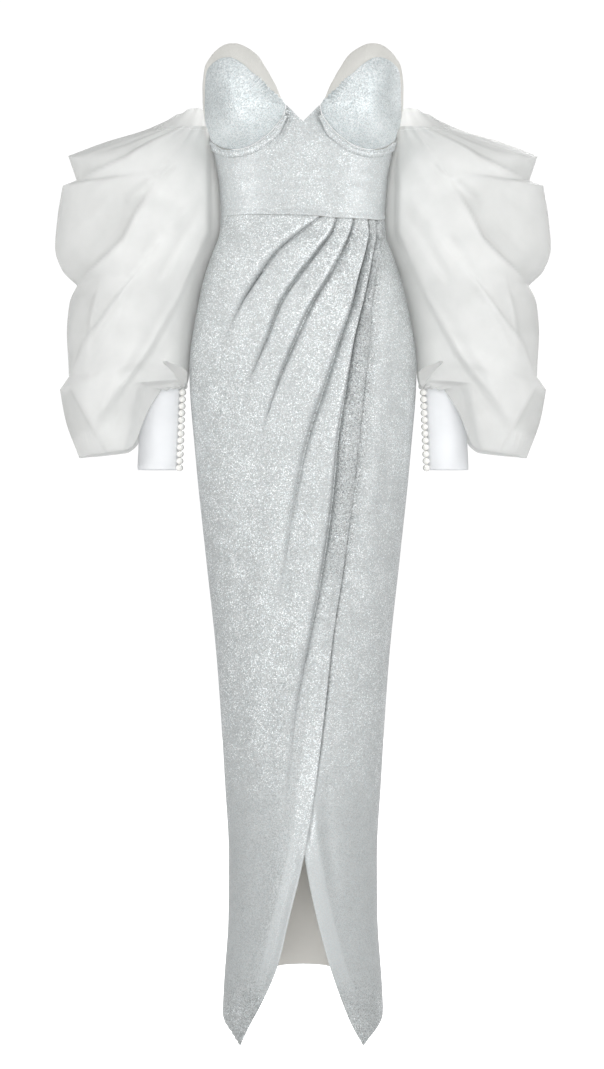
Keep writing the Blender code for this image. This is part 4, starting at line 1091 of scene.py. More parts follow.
def make_sheer(material):
    """Lets light through the cloth at one even alpha, and tones its colour by its mark: plain where it lies
    double, darker with painted shade where it lies in one layer, lighter with painted light beside the gown.
    """
    tree = material.node_tree
    inputs = tree.nodes["Principled BSDF"].inputs
    inputs["Alpha"].default_value = ORGANZA_ALPHA
    clouded = inputs["Base Color"].links[0].from_socket
    place = calculate(tree, "MULTIPLY_ADD", mark_of(tree, "single"), 1 - DOUBLE_PLACE, DOUBLE_PLACE)
    feed(tree, "Base Color", multiplied(tree, clouded, steps_of(tree, place, ORGANZA_TONES)))


def pearl_material():
    material, tree = new_material("fine_pearl", PEARL_COLOR, PEARL_ROUGHNESS, PEARL_COAT)
    clouds = noise(tree, scale=PEARL_CLOUDS_PER_METRE, detail=2)
    feed(tree, "Base Color", steps_of(tree, clouds, PEARL_TONES))
    return material


def metal_material():
    material, tree = new_material("fine_zip_metal", METAL_COLOR, METAL_ROUGHNESS, {"Metallic": 1.0})
    grain = noise(tree, scale=METAL_GRAINS_PER_METRE, detail=2)
    feed_relief(tree, grain, strength=0.25, distance=METAL_RELIEF)
    return material


def make_materials():
    materials = {row.key: cloth_material(*row[1:]) for row in CLOTHS}
    make_sheer(materials["organza"])
    materials.update({row.key: glitter_material(*row[1:]) for row in GLITTERS})
    materials["pearl"] = pearl_material()
    materials["metal"] = metal_material()
    return materials


def cup_edge_place(angle):
    """Where the cup's edge lies in the front view: distance from the centre plane, and height."""
    radius = column_of(CUP_EDGE, "radius", angle)
    turn = np.radians(angle)
    return CUP_CENTRE_OUT - radius * np.cos(turn), CUP_CENTRE_HEIGHT + radius * np.sin(turn)


def glitter_share(angle):
    """How much of the cup's radius the glitter cloth covers."""
    covered = np.minimum(column_of(GLITTER_TOP, "radius", angle) / column_of(CUP_EDGE, "radius", angle), 1)
    beyond = 1 - GLITTER_SHORT * ramp(*GLITTER_MEETS_EDGE, angle)
    return np.where(angle <= GLITTER_TOP[-1].angle, covered, beyond)


def cup_surface(share, angle, side):
    """Points on the cup, from its apex at share 0 to its edge at share 1, which is on the form where sewn."""
    out, height = cup_edge_place(angle)
    form = -body_point(front_angle(out, height), height)[0][..., 1] + SEAM
    free = column_of(CUP_FREE_DEPTH, "depth", angle)
    depth = free + (form - free) * ramp(*CUP_SEWN_BETWEEN, angle)
    lift = 0.5 - 0.5 * np.sin(np.radians(angle))
    fullness = CUP_FULLNESS_ABOVE + (CUP_FULLNESS_BELOW - CUP_FULLNESS_ABOVE) * lift
    place_out = CUP_CENTRE_OUT + share * (out - CUP_CENTRE_OUT)
    place_height = CUP_CENTRE_HEIGHT + share * (height - CUP_CENTRE_HEIGHT)
    place_depth = CUP_APEX_DEPTH + (depth - CUP_APEX_DEPTH) * share**fullness
    return np.stack([side * place_out, -place_depth, place_height], axis=-1)


def cup_normals(points, behind):
    """Normals away from a point behind the cup, and straight ahead at its apex."""
    normal = grid_normals(points, points - behind, closed=True)
    normal[0] = (0, -1, 0)
    return normal


def build_cups(side, materials):
    name = SIDE_NAMES[side]
    behind = np.array([side * CUP_CENTRE_OUT, 0.0, CUP_CENTRE_HEIGHT])
    angles = np.linspace(CUP_EDGE[0].angle, CUP_EDGE[-1].angle, CUP_COLUMNS + 1)[:-1]
    rows = np.linspace(0, 1, CUP_ROWS) ** CUP_CROWDING
    outer = cup_surface(rows[:, None] * glitter_share(angles), angles, side)
    normal = cup_normals(outer, behind)
    uneven = 1 - GATHER_UNEVEN + GATHER_UNEVEN * np.sin(angles * GATHER_UNEVEN_RATE)
    drift = GATHER_DRIFT * np.sin(angles * GATHER_DRIFT_RATE)
    ripple = np.sin(np.radians(angles * 360 / GATHER_PITCH) + drift)
    band = ramp(*GATHER_STARTS, angles) * ramp(*GATHER_STOPS, angles)
    reach = ramp(*GATHER_REACH, rows)[:, None] * (ripple * uneven * band)
    outer = outer + normal * (GATHER_DEPTH * reach)[..., None]
    outer = tuck_edges(outer, normal, last_row=CUP_TUCK)
    normal = cup_normals(outer, behind)
    height = outer[..., 2]
    # A painted highlight, and painted light on the cup's lower part
    from_glint = np.hypot(np.abs(outer[..., 0]) - CUP_GLINT[0], height - CUP_GLINT[1])
    tone_and_painted_light = CUP_GLINT_SHINE * bump(from_glint, CUP_GLINT_RADIUS) + CUP_LOW_PAINTED_LIGHT * ramp(*CUP_LOW, height)
    cloths = (materials["cup_glitter"], materials["ivory"])
    wall = {"closed": True, "pole": True, "marks": {"tone_and_painted_light": tone_and_painted_light}}
    cup = sew(f"cup_{name}", "glitter_cloth", outer, normal, CUP_CLOTH, cloths, **wall)

    angles = np.linspace(FACING_FROM, FACING_TO, FACING_COLUMNS)
    covered = glitter_share(angles)
    share = rows_between(covered - FACING_UNDERLAP, 1, FACING_ROWS)
    surface = cup_surface(share, angles, side)
    normal = grid_normals(surface, surface - behind)
    beyond = np.clip((share - covered) / (1 - covered), 0, 1)
    flare = ramp(*FACING_FLARES, angles) * ramp(*FACING_FLARE_ENDS, angles)
    flare = ramp(0, FACING_FLARED_BY, beyond) * flare
    outer = surface - normal * ((CUP_CLOTH + FACING_GAP) * (1 - flare))[..., None]
    outer = tuck_edges(outer, normal, last_row=FACING_TUCK)
    inner_cup = sew(f"cup_facing_{name}", "ivory_facing", outer, normal, FACING_CLOTH, (materials["ivory"],))
    insets = {"last_row": FACING_STITCHED}
    stitch_edges(f"facing_stitches_{name}", outer, normal, insets, materials["ivory"], "ivory_facing")


def build_casing(side, materials):
    """The band under the cup, laid on the midriff along the cup's edge."""
    angles = np.linspace(CASING_FROM, CASING_TO, CASING_COLUMNS)
    out, height = cup_edge_place(angles)
    turn = np.radians(angles)
    sideways = ramp(*CASING_TURNS, angles)
    narrowing = (1 - CASING_END_WIDTH) * ramp(CASING_NARROWS_FROM, CASING_TO, angles)
    share = np.linspace(CASING_ROWS[0].share, CASING_ROWS[-1].share, CASING_STEPS)[:, None]
    reach = share * CASING_WIDTH * (1 - narrowing)
    place_height = height - reach * (1 + sideways * (-np.sin(turn) - 1))
    place_out = out - reach * np.cos(turn) * sideways
    place_out = np.minimum(place_out, body_size(place_height)[0] * CASING_NEAREST_SIDE)
    angle = side * front_angle(place_out, place_height)
    crown = column_of(CASING_ROWS, "crown", share)
    outer, normal = body_point(angle, place_height, CASING_GAP + CASING_CLOTH * crown)
    base = body_point(angle, place_height, CASING_GAP)[0]
    thickness = np.linalg.norm(outer - base, axis=-1, keepdims=True)
    node = f"wire_casing_{SIDE_NAMES[side]}"
    marks = {"tone_and_painted_light": np.full(angle.shape, CASING_SHINE), "spread": np.full(angle.shape, CASING_SPREAD)}
    casing = sew(node, "glitter_cloth", outer, normal, thickness, (materials["glitter"],), marks=marks)
    faces = grid_normals(outer, normal)
    paths = [(outer[row], faces[row]) for row in CASING_STITCHED]
    stitch(f"casing_stitches_{SIDE_NAMES[side]}", paths, materials["thread"], "glitter_cloth")


def bodice_top(across):
    """Height of the midriff's top edge: the V bridge in the middle, then just under the cup's edge."""
    out = np.abs(across)
    bridge = V_BOTTOM + (BRIDGE_TOP - V_BOTTOM) * np.clip(out / BRIDGE_HALF_WIDTH, 0, 1)
    rim_out, rim_height = cup_edge_place(np.linspace(UNDER_CUP_FROM, UNDER_CUP_TO, UNDER_CUP_STEPS + 1))
    order = np.argsort(rim_out)
    under_cup = np.interp(out, rim_out[order], rim_height[order]) - CUP_EDGE_GAP
    return np.where(out <= BRIDGE_HALF_WIDTH, bridge, under_cup)


def wrap_out(angle):
    """How far the wrap stands off the form, which grows from the side seam it starts at."""
    return WRAP_OUT * ramp(*WRAP_RISES, np.degrees(angle))


def bodice_marks(across, height):
    """Tone, painted light and spread of the bodice's cloth: calmer flakes, with painted light towards the
    sides.
    """
    to_side = ramp(*CALM_FROM_SIDE, np.abs(across) / body_size(height)[0])
    return {"tone_and_painted_light": SIDE_PAINTED_LIGHT * to_side, "spread": MIDRIFF_SPREAD + SIDE_SPREAD * to_side}


def build_bodice(materials):
    cloths = (materials["glitter"], materials["ivory"])
    near = np.linspace(0, BRIDGE_HALF_WIDTH, BRIDGE_COLUMNS)
    half = np.concatenate([near, np.linspace(BRIDGE_HALF_WIDTH, BODICE_HALF_WIDTH, BODICE_COLUMNS)[1:]])
    angle = front_angle(np.concatenate([-half[:0:-1], half]), BODICE_SIDE_TOP)
    angle *= 1 - arc_gap(SIDE_GAP, BODICE_SIDE_TOP) / (math.pi / 2)
    top = np.full(angle.shape, BODICE_SIDE_TOP)
    for _ in range(TOP_EDGE_ROUNDS):
        top = (top + bodice_top(body_point(angle, top)[0][:, 0])) / 2
    bottom = edge_height(WAIST_SEAM, angle) + SEAM
    height = rows_between(bottom, top, BODICE_ROWS)
    across = body_point(angle, height)[0][..., 0]
    overlap = wrap_out(angle) * ramp(*WRAP_SETTLES, np.degrees(angle))
    lift = crease_lift(across, height, BODICE_CREASES) + overlap * ramp(WAIST_FLARE, 0, height - bottom)
    tucks = {"first_row": TURNED, "first_column": SIDE_SEAM, "last_column": SIDE_SEAM}
    outer, normal = on_form(angle, height, lift, **tucks)
    # Painted shade in a patch beside the V
    from_bridge_shade = np.hypot(np.abs(across) - BRIDGE_SHADE_PATCH[0], height - BRIDGE_SHADE_PATCH[1])
    bridge_shade = ramp(*BRIDGE_SHADE_FADES, from_bridge_shade / BRIDGE_SHADE_RADIUS)
    marks = bodice_marks(across, height)
    marks["tone_and_painted_light"] += BRIDGE_SHADE_TONE * bridge_shade
    marks["spread"] += BRIDGE_SHADE_SPREAD * bridge_shade
    front = sew("bodice_front", "glitter_cloth", outer, normal, GLITTER_CLOTH, cloths, marks=marks)
    waist = (outer, normal, {"first_row": WAIST_STITCHED})
    for side in (LEFT, RIGHT):
        node = f"bodice_back_{SIDE_NAMES[side]}"
        gap = arc_gap(SIDE_GAP, BODICE_MIDDLE)
        angle = np.linspace(math.pi / 2 + gap, math.pi - gap, BODICE_BACK_COLUMNS)
        bottom = edge_height(WAIST_SEAM, angle) + SEAM / 2
        height = rows_between(bottom, edge_height(BODICE_BACK_TOP, angle), BODICE_BACK_ROWS)
        tucks = {"first_row": TURNED, "last_row": TURNED, "last_column": TURNED, "first_column": SIDE_SEAM}
        outer, normal = on_form(side * angle, height, 0.0, **tucks)
        marks = bodice_marks(outer[..., 0], height)
        back = sew(node, "glitter_cloth", outer, normal, GLITTER_CLOTH, cloths, marks=marks)
        insets = {"last_row": EDGE_INSET, "last_column": ZIP_STITCHED}
        name = f"bodice_back_stitches_{SIDE_NAMES[side]}"
        stitch_edges(name, outer, normal, insets, materials["thread"])
    stitch_edges("waist_stitches", *waist, materials["thread"])


def pleat_angles(pleat, share, height):
    """The angles of the wrap's columns, each a share of the way across its pleat, and the pleats' sides."""
    lines = [arc_gap(SIDE_GAP, height) - math.pi / 2]
    for name in PLEAT_COURSES[0]._fields[1:]:
        lines.append(front_angle(column_of(PLEAT_COURSES, name, height), height))
    left, right = np.choose(pleat, lines[:-1]), np.choose(pleat, lines[1:])
    return left + share * (right - left), left, right


def pleat_lift(pleat, share, below_seam, height):
    """How far a pleat stands out: a V trough at each side and a round crest between."""
    _, size, crest, fades_by = np.array(PLEATS)[pleat].T
    shape = np.where(share < crest, share / crest, (1 - share) / (1 - crest))
    softness = PLEAT_CRISP + (PLEAT_SOFT - PLEAT_CRISP) * ramp(0, PLEAT_SOFT_BELOW, height)
    start = PLEAT_AT_SEAM + (1 - PLEAT_AT_SEAM) * ramp(0, PLEAT_FULL_BELOW, below_seam)
    fade = ramp(fades_by, fades_by * PLEAT_FADES_FROM, height)
    return size * np.sin(0.5 * math.pi * np.clip(shape, 0, 1)) ** softness * start * fade


def trough_cut(fades_by, distance, height):
    """A crisp crease at a pleat's trough, which widens and fades downwards."""
    width = TROUGH_WIDTH + TROUGH_WIDENS * np.clip(height / fades_by, 0, 1)
    return np.exp(-distance / width) * ramp(fades_by, fades_by * PLEAT_FADES_FROM, height)


def skirt_marks(place, outer, from_slit=np.inf):
    """Tone, painted light and spread: painted shade low and in the side seams, painted light at the sides and
    on the slit's edges.
    """
    height = place[..., 2]
    low = ramp(*CALM_AND_SHADED_LOW, height)
    tip = ramp(*TIP_BETWEEN, height)
    to_side = ramp(*SKIRT_SIDE, np.abs(place[..., 0]) / body_size(height)[0])
    seam_shade = ramp(*SIDE_SEAM_SHADE_BAND, run_of(outer, 1))
    # Bands of painted highlight along the slit's edges
    turned = ramp(*SLIT_HIGHLIGHT_ACROSS, from_slit)
    turned = turned * ramp(*SLIT_HIGHLIGHT_BETWEEN, height) * ramp(*SLIT_HIGHLIGHT_ENDS, height)
    # Painted shade low down and along the side seams, painted light at the sides
    tone_and_painted_light = LOW_PAINTED_SHADE * low + TIP_SHINE * tip + SKIRT_SIDE_PAINTED_LIGHT * to_side + SIDE_SEAM_SHADE * seam_shade
    tone_and_painted_light += (SLIT_HIGHLIGHT_TONE + SLIT_HIGHLIGHT_LOW_TONE * low) * turned
    return tone_and_painted_light, LOW_SPREAD * low + TIP_SPREAD * tip + SLIT_HIGHLIGHT_LOW_SPREAD * low * turned


def sew_skirt(node, outer, normal, tone_and_painted_light, spread, materials):
    """A skirt panel of glitter cloth."""
    cloths = (materials["glitter"], materials["knit_back"])
    marks = {"tone_and_painted_light": tone_and_painted_light, "spread": spread}
    return sew(node, "glitter_cloth", outer, normal, GLITTER_CLOTH, cloths, marks=marks)


def build_wrap(materials):
    """The pleated front, from the wearer's right side seam to its free edge, which ends in the slit."""
    pleat = np.repeat(range(len(PLEATS)), [row.cells for row in PLEATS])
    share = np.concatenate([np.arange(row.cells) / row.cells for row in PLEATS])
    pleat, share = np.append(pleat, len(PLEATS) - 1), np.append(share, 1.0)
    share = share - CELL_CROWDING * np.sin(2 * math.pi * share) / (2 * math.pi)
    angle = np.full(len(share), -math.pi / 2)
    for _ in range(SEAM_ROUNDS):
        seam = edge_height(WAIST_SEAM, angle) - SEAM / 2
        angle = pleat_angles(pleat, share, seam)[0]
    height = rows_between(seam, np.linspace(SIDE_HEM, FRONT_TIP, len(share)), WRAP_ROWS, ROW_CROWDING)
    angle, left, right = pleat_angles(pleat, share, height)
    apart = np.abs(np.sin(right) - np.sin(left)) * body_size(height)[0]
    before, after = share * apart, (1 - share) * apart
    last = pleat == len(PLEATS) - 1
    # Painted shade in and beside each trough, and a painted highlight along the crest before it
    shades = SHADE_SHINE * np.exp(-before / SHADE_WIDTH)
    crest_highlights = CREST_HIGHLIGHT * bump(after - CREST_OFFSET, CREST_WIDTH)
    lift = pleat_lift(pleat, share, seam - height, height)
    lift += last * FREE_EDGE_LIFT * ramp(FREE_EDGE_WIDTH, 0, after)
    shade = 0
    troughs = ((pleat - 1, before, shades, pleat > 0), (pleat, after, crest_highlights, ~last))
    for trough, distance, tone, inside in troughs:
        fades_by = np.array([row.fades_by for row in PLEATS])[trough]
        cut = trough_cut(fades_by, distance, height) * inside
        lift -= TROUGH_CUT * cut
        shade += TROUGH_SHADE * cut + tone * inside * ramp(*np.outer(SHADE_FADES, fades_by), height)
    place = body_point(angle, height)[0]
    across = place[..., 0]
    lift += crease_lift(across, height, WRAP_CREASES)
    seam_depth = TUCK_DEPTH / 2 + (SEAM_TUCK_DEPTH - TUCK_DEPTH / 2) * ramp(*SEAM_DEEPENS, across[0])
    tucks = {"last_row": TURNED, "last_column": TURNED, "first_column": SIDE_SEAM}
    tucks["first_row"] = (seam_depth, SEAM_TUCK_WIDTH)
    outer, normal = on_form(angle, height, wrap_out(angle) + lift, **tucks)

    fifth, edge = (column_of(PLEAT_COURSES, name, height) for name in ("fifth", "edge"))
    from_fifth = across - fifth + GATHERED_WIDENS * ramp(*GATHERED_WIDENS_BETWEEN, height)
    gathered = ramp(*GATHERED_ACROSS, from_fifth) * ramp(*GATHERED_HEIGHTS, height)
    pleated = ramp(*PLEATED_BETWEEN, height) * ramp(*PLEATED_ACROSS, across)
    tone_and_painted_light, spread = skirt_marks(place, outer, edge - across)
    # Painted shade over the gathered band, with the troughs' painted shade and highlights
    tone_and_painted_light += GATHERED_SHADE * gathered + shade
    spread += np.maximum(GATHERED_SPREAD * gathered, PLEATED_SPREAD * pleated)
    wrap = sew_skirt("skirt_front_wrap", outer, normal, tone_and_painted_light, spread, materials)
    insets = {"last_row": HEM_INSET, "last_column": HEM_INSET}
    stitch_edges("wrap_hem_stitches", outer, normal, insets, materials["thread"], lift=0)


def build_under(materials):
    """The plain front panel, from the wearer's left side seam to the edge that the wrap hides."""
    near = np.append(1 - np.linspace(1, 0, UNDER_SHOWN) ** UNDER_CROWDING, np.ones(UNDER_HIDDEN))
    hidden = np.linspace(0, 1, UNDER_HIDDEN + 1)[1:] ** UNDER_CROWDING
    far = np.append(np.zeros(UNDER_SHOWN), hidden)

    def spaced(start, height):
        """Column angles from a start past the line under the wrap's edge to the panel's own edge."""
        inner = column_of(UNDER_EDGE, "across", height)
        middle = np.maximum(column_of(PLEAT_COURSES, "edge", height) + EDGE_SHADE_OFFSET, inner + UNDER_LEAST)
        middle, edge = front_angle(middle, height), front_angle(inner, height)
        return start + near * (middle - start) + far * (edge - middle)

    side = math.pi / 2
    top = spaced(side, np.array([UNDER_EDGE[-1].height]))
    hem = spaced(side, np.array([FRONT_TIP]))
    seam = edge_height(WAIST_SEAM, top) - SEAM - UNDER_LOWER * (side - top) / (side - top[-1])
    hem = SIDE_HEM + (FRONT_TIP - SIDE_HEM) * (side - hem) / (side - hem[-1])
    height = rows_between(seam, hem, UNDER_ROWS, ROW_CROWDING)
    angle = spaced(side - arc_gap(SIDE_GAP, height), height)
    place = body_point(angle, height)[0]
    across = place[..., 0]
    beside_wrap = across - column_of(PLEAT_COURSES, "edge", height) - EDGE_SHADE_OFFSET
    # A line of painted shadow beside the wrap's edge, also pressed in as a shallow groove
    line = bump(beside_wrap, EDGE_SHADE_WIDTH) * ramp(*EDGE_SHADE_STARTS, height)
    line *= ramp(*EDGE_SHADE_ENDS, height)
    line *= EDGE_SHADE_ABOVE + (1 - EDGE_SHADE_ABOVE) * ramp(*EDGE_SHADE_DARKENS, height)
    lift = crease_lift(across, height, UNDER_CREASES) - EDGE_SHADE_DEPTH * line
    tucks = {"first_row": TURNED, "last_row": TURNED, "last_column": TURNED, "first_column": SIDE_SEAM}
    outer, normal = on_form(angle, height, lift, **tucks)

    peek = bump(beside_wrap - PEEK_OFFSET, PEEK_WIDTH) * ramp(*PEEK_STARTS, height) * ramp(*PEEK_ENDS, height)
    # Painted shade where the gathered band runs on past the wrap's edge
    beyond = ramp(*GATHERED_BEYOND, beside_wrap) * ramp(*GATHERED_HEIGHTS, height)
    tone_and_painted_light, spread = skirt_marks(place, outer, across - column_of(UNDER_EDGE, "across", height))
    tone_and_painted_light += EDGE_SHADE_SHINE * line + PEEK_SHINE * peek + BEYOND_SHADE * beyond
    spread += PEEK_SPREAD * peek + BEYOND_SPREAD * beyond
    under = sew_skirt("skirt_front_under", outer, normal, tone_and_painted_light, spread, materials)
    insets = {"last_row": HEM_INSET}
    stitch_edges("under_hem_stitches", outer, normal, insets, materials["thread"], lift=0)


def build_skirt_backs(materials):
    start, end = math.pi / 2, math.pi
    share = np.linspace(0, 1, BACK_COLUMNS)
    for side in (LEFT, RIGHT):
        name = SIDE_NAMES[side]
        angle = start + share * (end - start)
        seam = edge_height(WAIST_SEAM, angle) - SEAM / 2
        height = rows_between(seam, edge_height(SKIRT_BACK_HEM, angle), BACK_ROWS, ROW_CROWDING)
        gap = arc_gap(SIDE_GAP, height)
        angle = start + gap + share * (end - start - 2 * gap)
        place = body_point(angle, height)[0]
        shift_out, shift_up = BACK_CREASES_DIFFER if side == LEFT else (0, 0)
        lift = crease_lift(place[..., 0] + shift_out, height + shift_up, BACK_CREASES)
        lift *= ramp(start, start + BACK_SIDE_PLAIN, angle) * ramp(end, end - BACK_MIDDLE_PLAIN, angle)
        tucks = {"first_row": TURNED, "last_row": TURNED, "first_column": SIDE_SEAM, "last_column": SIDE_SEAM}
        outer, normal = on_form(side * angle, height, lift, **tucks)
        back = sew_skirt(f"skirt_back_{name}", outer, normal, *skirt_marks(place, outer), materials)
        insets = {"last_row": HEM_INSET}
        stitch_edges(f"back_hem_stitches_{name}", outer, normal, insets, materials["thread"], lift=0)
    angle = np.linspace(start + LINING_FROM_SIDE, 2 * end - start - LINING_FROM_SIDE, BACK_COLUMNS)
    folded = np.where(angle > end, 2 * end - angle, angle)
    hem = edge_height(SKIRT_BACK_HEM, folded) + LINING_SHORTER
    height = rows_between(edge_height(WAIST_SEAM, folded) - SEAM, hem, LINING_ROWS, ROW_CROWDING)
    across = body_point(folded, height)[0][..., 0]
    lift = np.minimum(crease_lift(across, height, BACK_CREASES), 0) - LINING_DEPTH
    outer, normal = body_point(angle, height, lift)
    cloths = (materials["taupe"],)
    name = "skirt_lining_cloth"
    lining = sew("skirt_back_lining", "taupe_lining", outer, normal, LINING_CLOTH, cloths, name)


def fold_lift(out, height):
    """How far the sleeve's folds stand out at places in the front view."""
    lift = np.zeros(out.shape)
    for fold in SLEEVE_FOLDS:
        signed, along = line_offset(out, height, fold.line)
        step = ramp(-FOLD_SOFTNESS, FOLD_SOFTNESS, signed) * np.exp(-np.maximum(signed, 0) / fold.reach)
        ends = ramp(-FOLD_END_SHARE, FOLD_END_SHARE, along)
        lift += fold.height * step * ends * ramp(1 + FOLD_END_SHARE, 1 - FOLD_END_SHARE, along)
    return lift


def thin_and_shaded_cloth(out, height):
    """How far the sleeve's cloth lies in one layer beside and under its folds, where it also takes painted
    shade: 0 where it is double.
    """
    thin = np.zeros(out.shape)
    for fold in SLEEVE_FOLDS:
        signed, along = line_offset(out, height, fold.line)
        below = ramp(THIN_SOFTNESS, -THIN_SOFTNESS, signed) * np.exp(np.minimum(signed, 0) / THIN_REACH)
        ends = ramp(-THIN_PAST_END, FOLD_END_SHARE, along)
        ends = ends * ramp(1 + THIN_PAST_END, 1 - FOLD_END_SHARE, along)
        thin += fold.thin * below * ends
    return np.clip(thin, 0, 1)


def sleeve_rings(turn, across, deep):
    """The sleeve's rings of points as the table gives them, then the ring at the cuff's top."""
    out, height, inner_height, clear, depth, lap, drop, rise, lean = np.array(SLEEVE_RINGS).T[..., None]
    half_width, _, back = body_size(inner_height)
    inner = half_width * (1 - (lean / back) ** SQUARENESS) ** (1 / SQUARENESS) + clear
    inwards = 0.5 - 0.5 * across
    from_inner = 1 - inwards
    lapped = LAP_SHARE * ramp(*LAP_BETWEEN, from_inner) + (1 - LAP_SHARE) * from_inner
    share = from_inner + lap * (lapped - from_inner)
    skewed = np.maximum(-deep, 0) * (RISE_LEAST + RISE_SKEW * inwards)
    place_height = inner_height + share * (height - inner_height) - drop * np.maximum(deep, 0) + rise * skewed
    rings = [out + inwards * (inner - out), -(depth * deep - lean * inwards**2), place_height]
    cuff_out = CUFF_TOP_OUT + (CUFF_TOP_HALF_WIDTH + CUFF_EASE) * np.cos(turn)
    cuff_depth = -(CUFF_HALF_DEPTH + CUFF_EASE) * np.sin(turn)
    cuff = np.stack([cuff_out, cuff_depth, np.full_like(turn, CUFF_TOP + SEAM)], axis=-1)
    return np.append(np.stack(rings, axis=-1), cuff[None], axis=0), np.append(depth, 0)


def sleeve_points():
    """The wearer's left sleeve from the arm opening to the cuff's top, and its mark of one layer with painted
    shade by the folds and painted light beside the gown.
    """
    even = np.linspace(0, 2 * math.pi, SLEEVE_COLUMNS, endpoint=False)
    turn = np.sort((even + FRONT_CROWDING * (np.cos(even) - 1)) % (2 * math.pi))
    across = signed_power(np.cos(turn), 2 / SLEEVE_SQUARENESS)
    power = np.where(across > 0, 2 / SLEEVE_POINT, 2 / SLEEVE_SQUARENESS)
    deep = signed_power(np.sin(turn), power)
    rings, depths = sleeve_rings(turn, across, deep)
    places = range(len(rings))
    at = np.linspace(0, len(rings) - 1, SLEEVE_ROWS + 1)
    soft, crisp = (smooth_through(places, rings, at, corners) for corners in ((), SHARP_RINGS))
    outermost = ramp(*SHARP_ACROSS, across)[None, :, None]
    points = soft + (crisp - soft) * outermost
    depth = smooth_through(places, depths, at)[:, None]
    fall = np.abs(deep) ** FOLD_FALLS_OFF * ramp(FOLD_LEAST_DEPTH, 2 * FOLD_LEAST_DEPTH, depth)
    fall = fall * ramp(*FOLDS_END_AT, at)[:, None]
    place_out, place_height = points[..., 0], points[..., 2]
    to_back = ramp(*BACK_FOLD_TURN, deep)
    behind = BACK_FOLD_SHIFT * to_back
    lift = fold_lift(place_out, place_height + behind) * (1 - (1 - BACK_FOLD_SHARE) * to_back)
    lift += crease_lift(place_out, place_height + behind, SLEEVE_CREASES)
    points[..., 1] -= np.sign(deep) * lift * fall
    signed, _ = line_offset(place_out, place_height, SLEEVE_FOLDS[BAND_FOLD].line[:-1])
    strip = ramp(STRIP_SOFTNESS, -STRIP_SOFTNESS, signed) * ramp(*STRIP_ENDS, place_height)
    in_front = np.maximum(-points[..., 1], 0) * ramp(*STRIP_TURN, deep)
    points[..., 1] += in_front * (1 - STRIP_DEPTH_LEFT) * strip
    eased = smoothed(points, SMOOTHING_ROUNDS)
    eased[..., ::2] += (points - eased)[..., ::2] * outermost
    place_out, _, place_height = np.moveaxis(eased, -1, 0)
    # Painted light lightens the cloth beside the gown, where the gown shades it
    by_gown = ramp(GOWN_SIDE_LIGHT_WIDTH, 0.0, place_out - body_size(place_height)[0])
    single = thin_and_shaded_cloth(place_out, place_height + behind) * (1 - by_gown) - GOWN_SIDE_PAINTED_LIGHT * by_gown
    return eased, turn, at, single


def open_placket(points, turn, at):
    """Draws the columns by the placket together or apart, so that its two edges part like a slit's."""
    share = turn / (2 * math.pi)
    moved = points.copy()
    sources = [0, PLACKET_CLEAR[0], *PLACKET_TURN, PLACKET_CLEAR[1], 1]
    edges = zip(column_of(PLACKET, "outer", at), column_of(PLACKET, "inner", at))
    for row, (outer, inner) in enumerate(edges):
        target = np.interp(share, sources, [0, PLACKET_CLEAR[0], outer, inner, PLACKET_CLEAR[1], 1])
        ring = np.append(points[row], points[row, :1], axis=0)
        moved[row] = np.stack([np.interp(target, np.append(share, 1.0), axis) for axis in ring.T], axis=-1)
    return moved


def gathers(turn, count, drift, drifts, phase):
    """Waves round the sleeve, whose pitch drifts."""
    return np.sin(count * turn + drift * np.sin(drifts * turn + phase))


def build_sleeve(side, materials):
    outer, turn, at, single = sleeve_points()
    outer = open_placket(outer, turn, at)
    middle = len(outer) // 2
    reference = np.zeros_like(outer)
    reference[middle] = outer[middle] - outer[middle].mean(axis=0)
    normal = grid_normals(outer, reference, closed=True)
    near_cuff = CUFF_GATHER_DEPTH * ramp(*CUFF_GATHER_STARTS, at) * ramp(*CUFF_GATHER_ENDS, at)
    near_arm = ARM_GATHER_DEPTH * ramp(*ARM_GATHER_ENDS, at)
    cuff_waves = gathers(turn, *CUFF_GATHERS)
    arm_waves = gathers(turn, *ARM_GATHERS) * np.abs(np.sin(turn))
    ripple = near_cuff[:, None] * cuff_waves + near_arm[:, None] * arm_waves
    outer = outer + normal * ripple[..., None]
    normal = grid_normals(outer, reference, closed=True)
    share = turn / (2 * math.pi)
    rows = (at[:-1] >= PLACKET[1].ring) & (at[:-1] < PLACKET_END)
    missing = rows[:, None] & (share >= PLACKET_TURN[0]) & (share < PLACKET_TURN[1])
    name = SIDE_NAMES[side]
    mirror = np.array([side, 1, 1])
    outer, normal = outer * mirror, normal * mirror
    wall = {"closed": True, "missing": missing, "marks": {"single": single}}
    sleeve = sew(f"sleeve_{name}", "white_organza", outer, normal, ORGANZA, (materials["organza"],), **wall)
    insets = {"first_row": EDGE_INSET}
    stitch_edges(f"sleeve_edge_stitches_{name}", outer, normal, insets, materials["thread"], "white_organza")


def cuff_point(angle, height, out, side):
    """A point on the cuff. Angles start at the body side and grow towards the front."""
    share = (CUFF_TOP - height) / (CUFF_TOP - CUFF_BOTTOM)
    centre = CUFF_TOP_OUT + share * (CUFF_BOTTOM_OUT - CUFF_TOP_OUT)
    half_width = CUFF_TOP_HALF_WIDTH + share * (CUFF_BOTTOM_HALF_WIDTH - CUFF_TOP_HALF_WIDTH)
    inwards, forwards = -side * np.cos(angle), -np.sin(angle)
    place = np.stack([side * centre + half_width * inwards, CUFF_HALF_DEPTH * forwards, height], axis=-1)
    normal = unit(np.stack([inwards / half_width, forwards / CUFF_HALF_DEPTH, 0 * height], axis=-1))
    return place + np.asarray(out)[..., None] * normal, normal


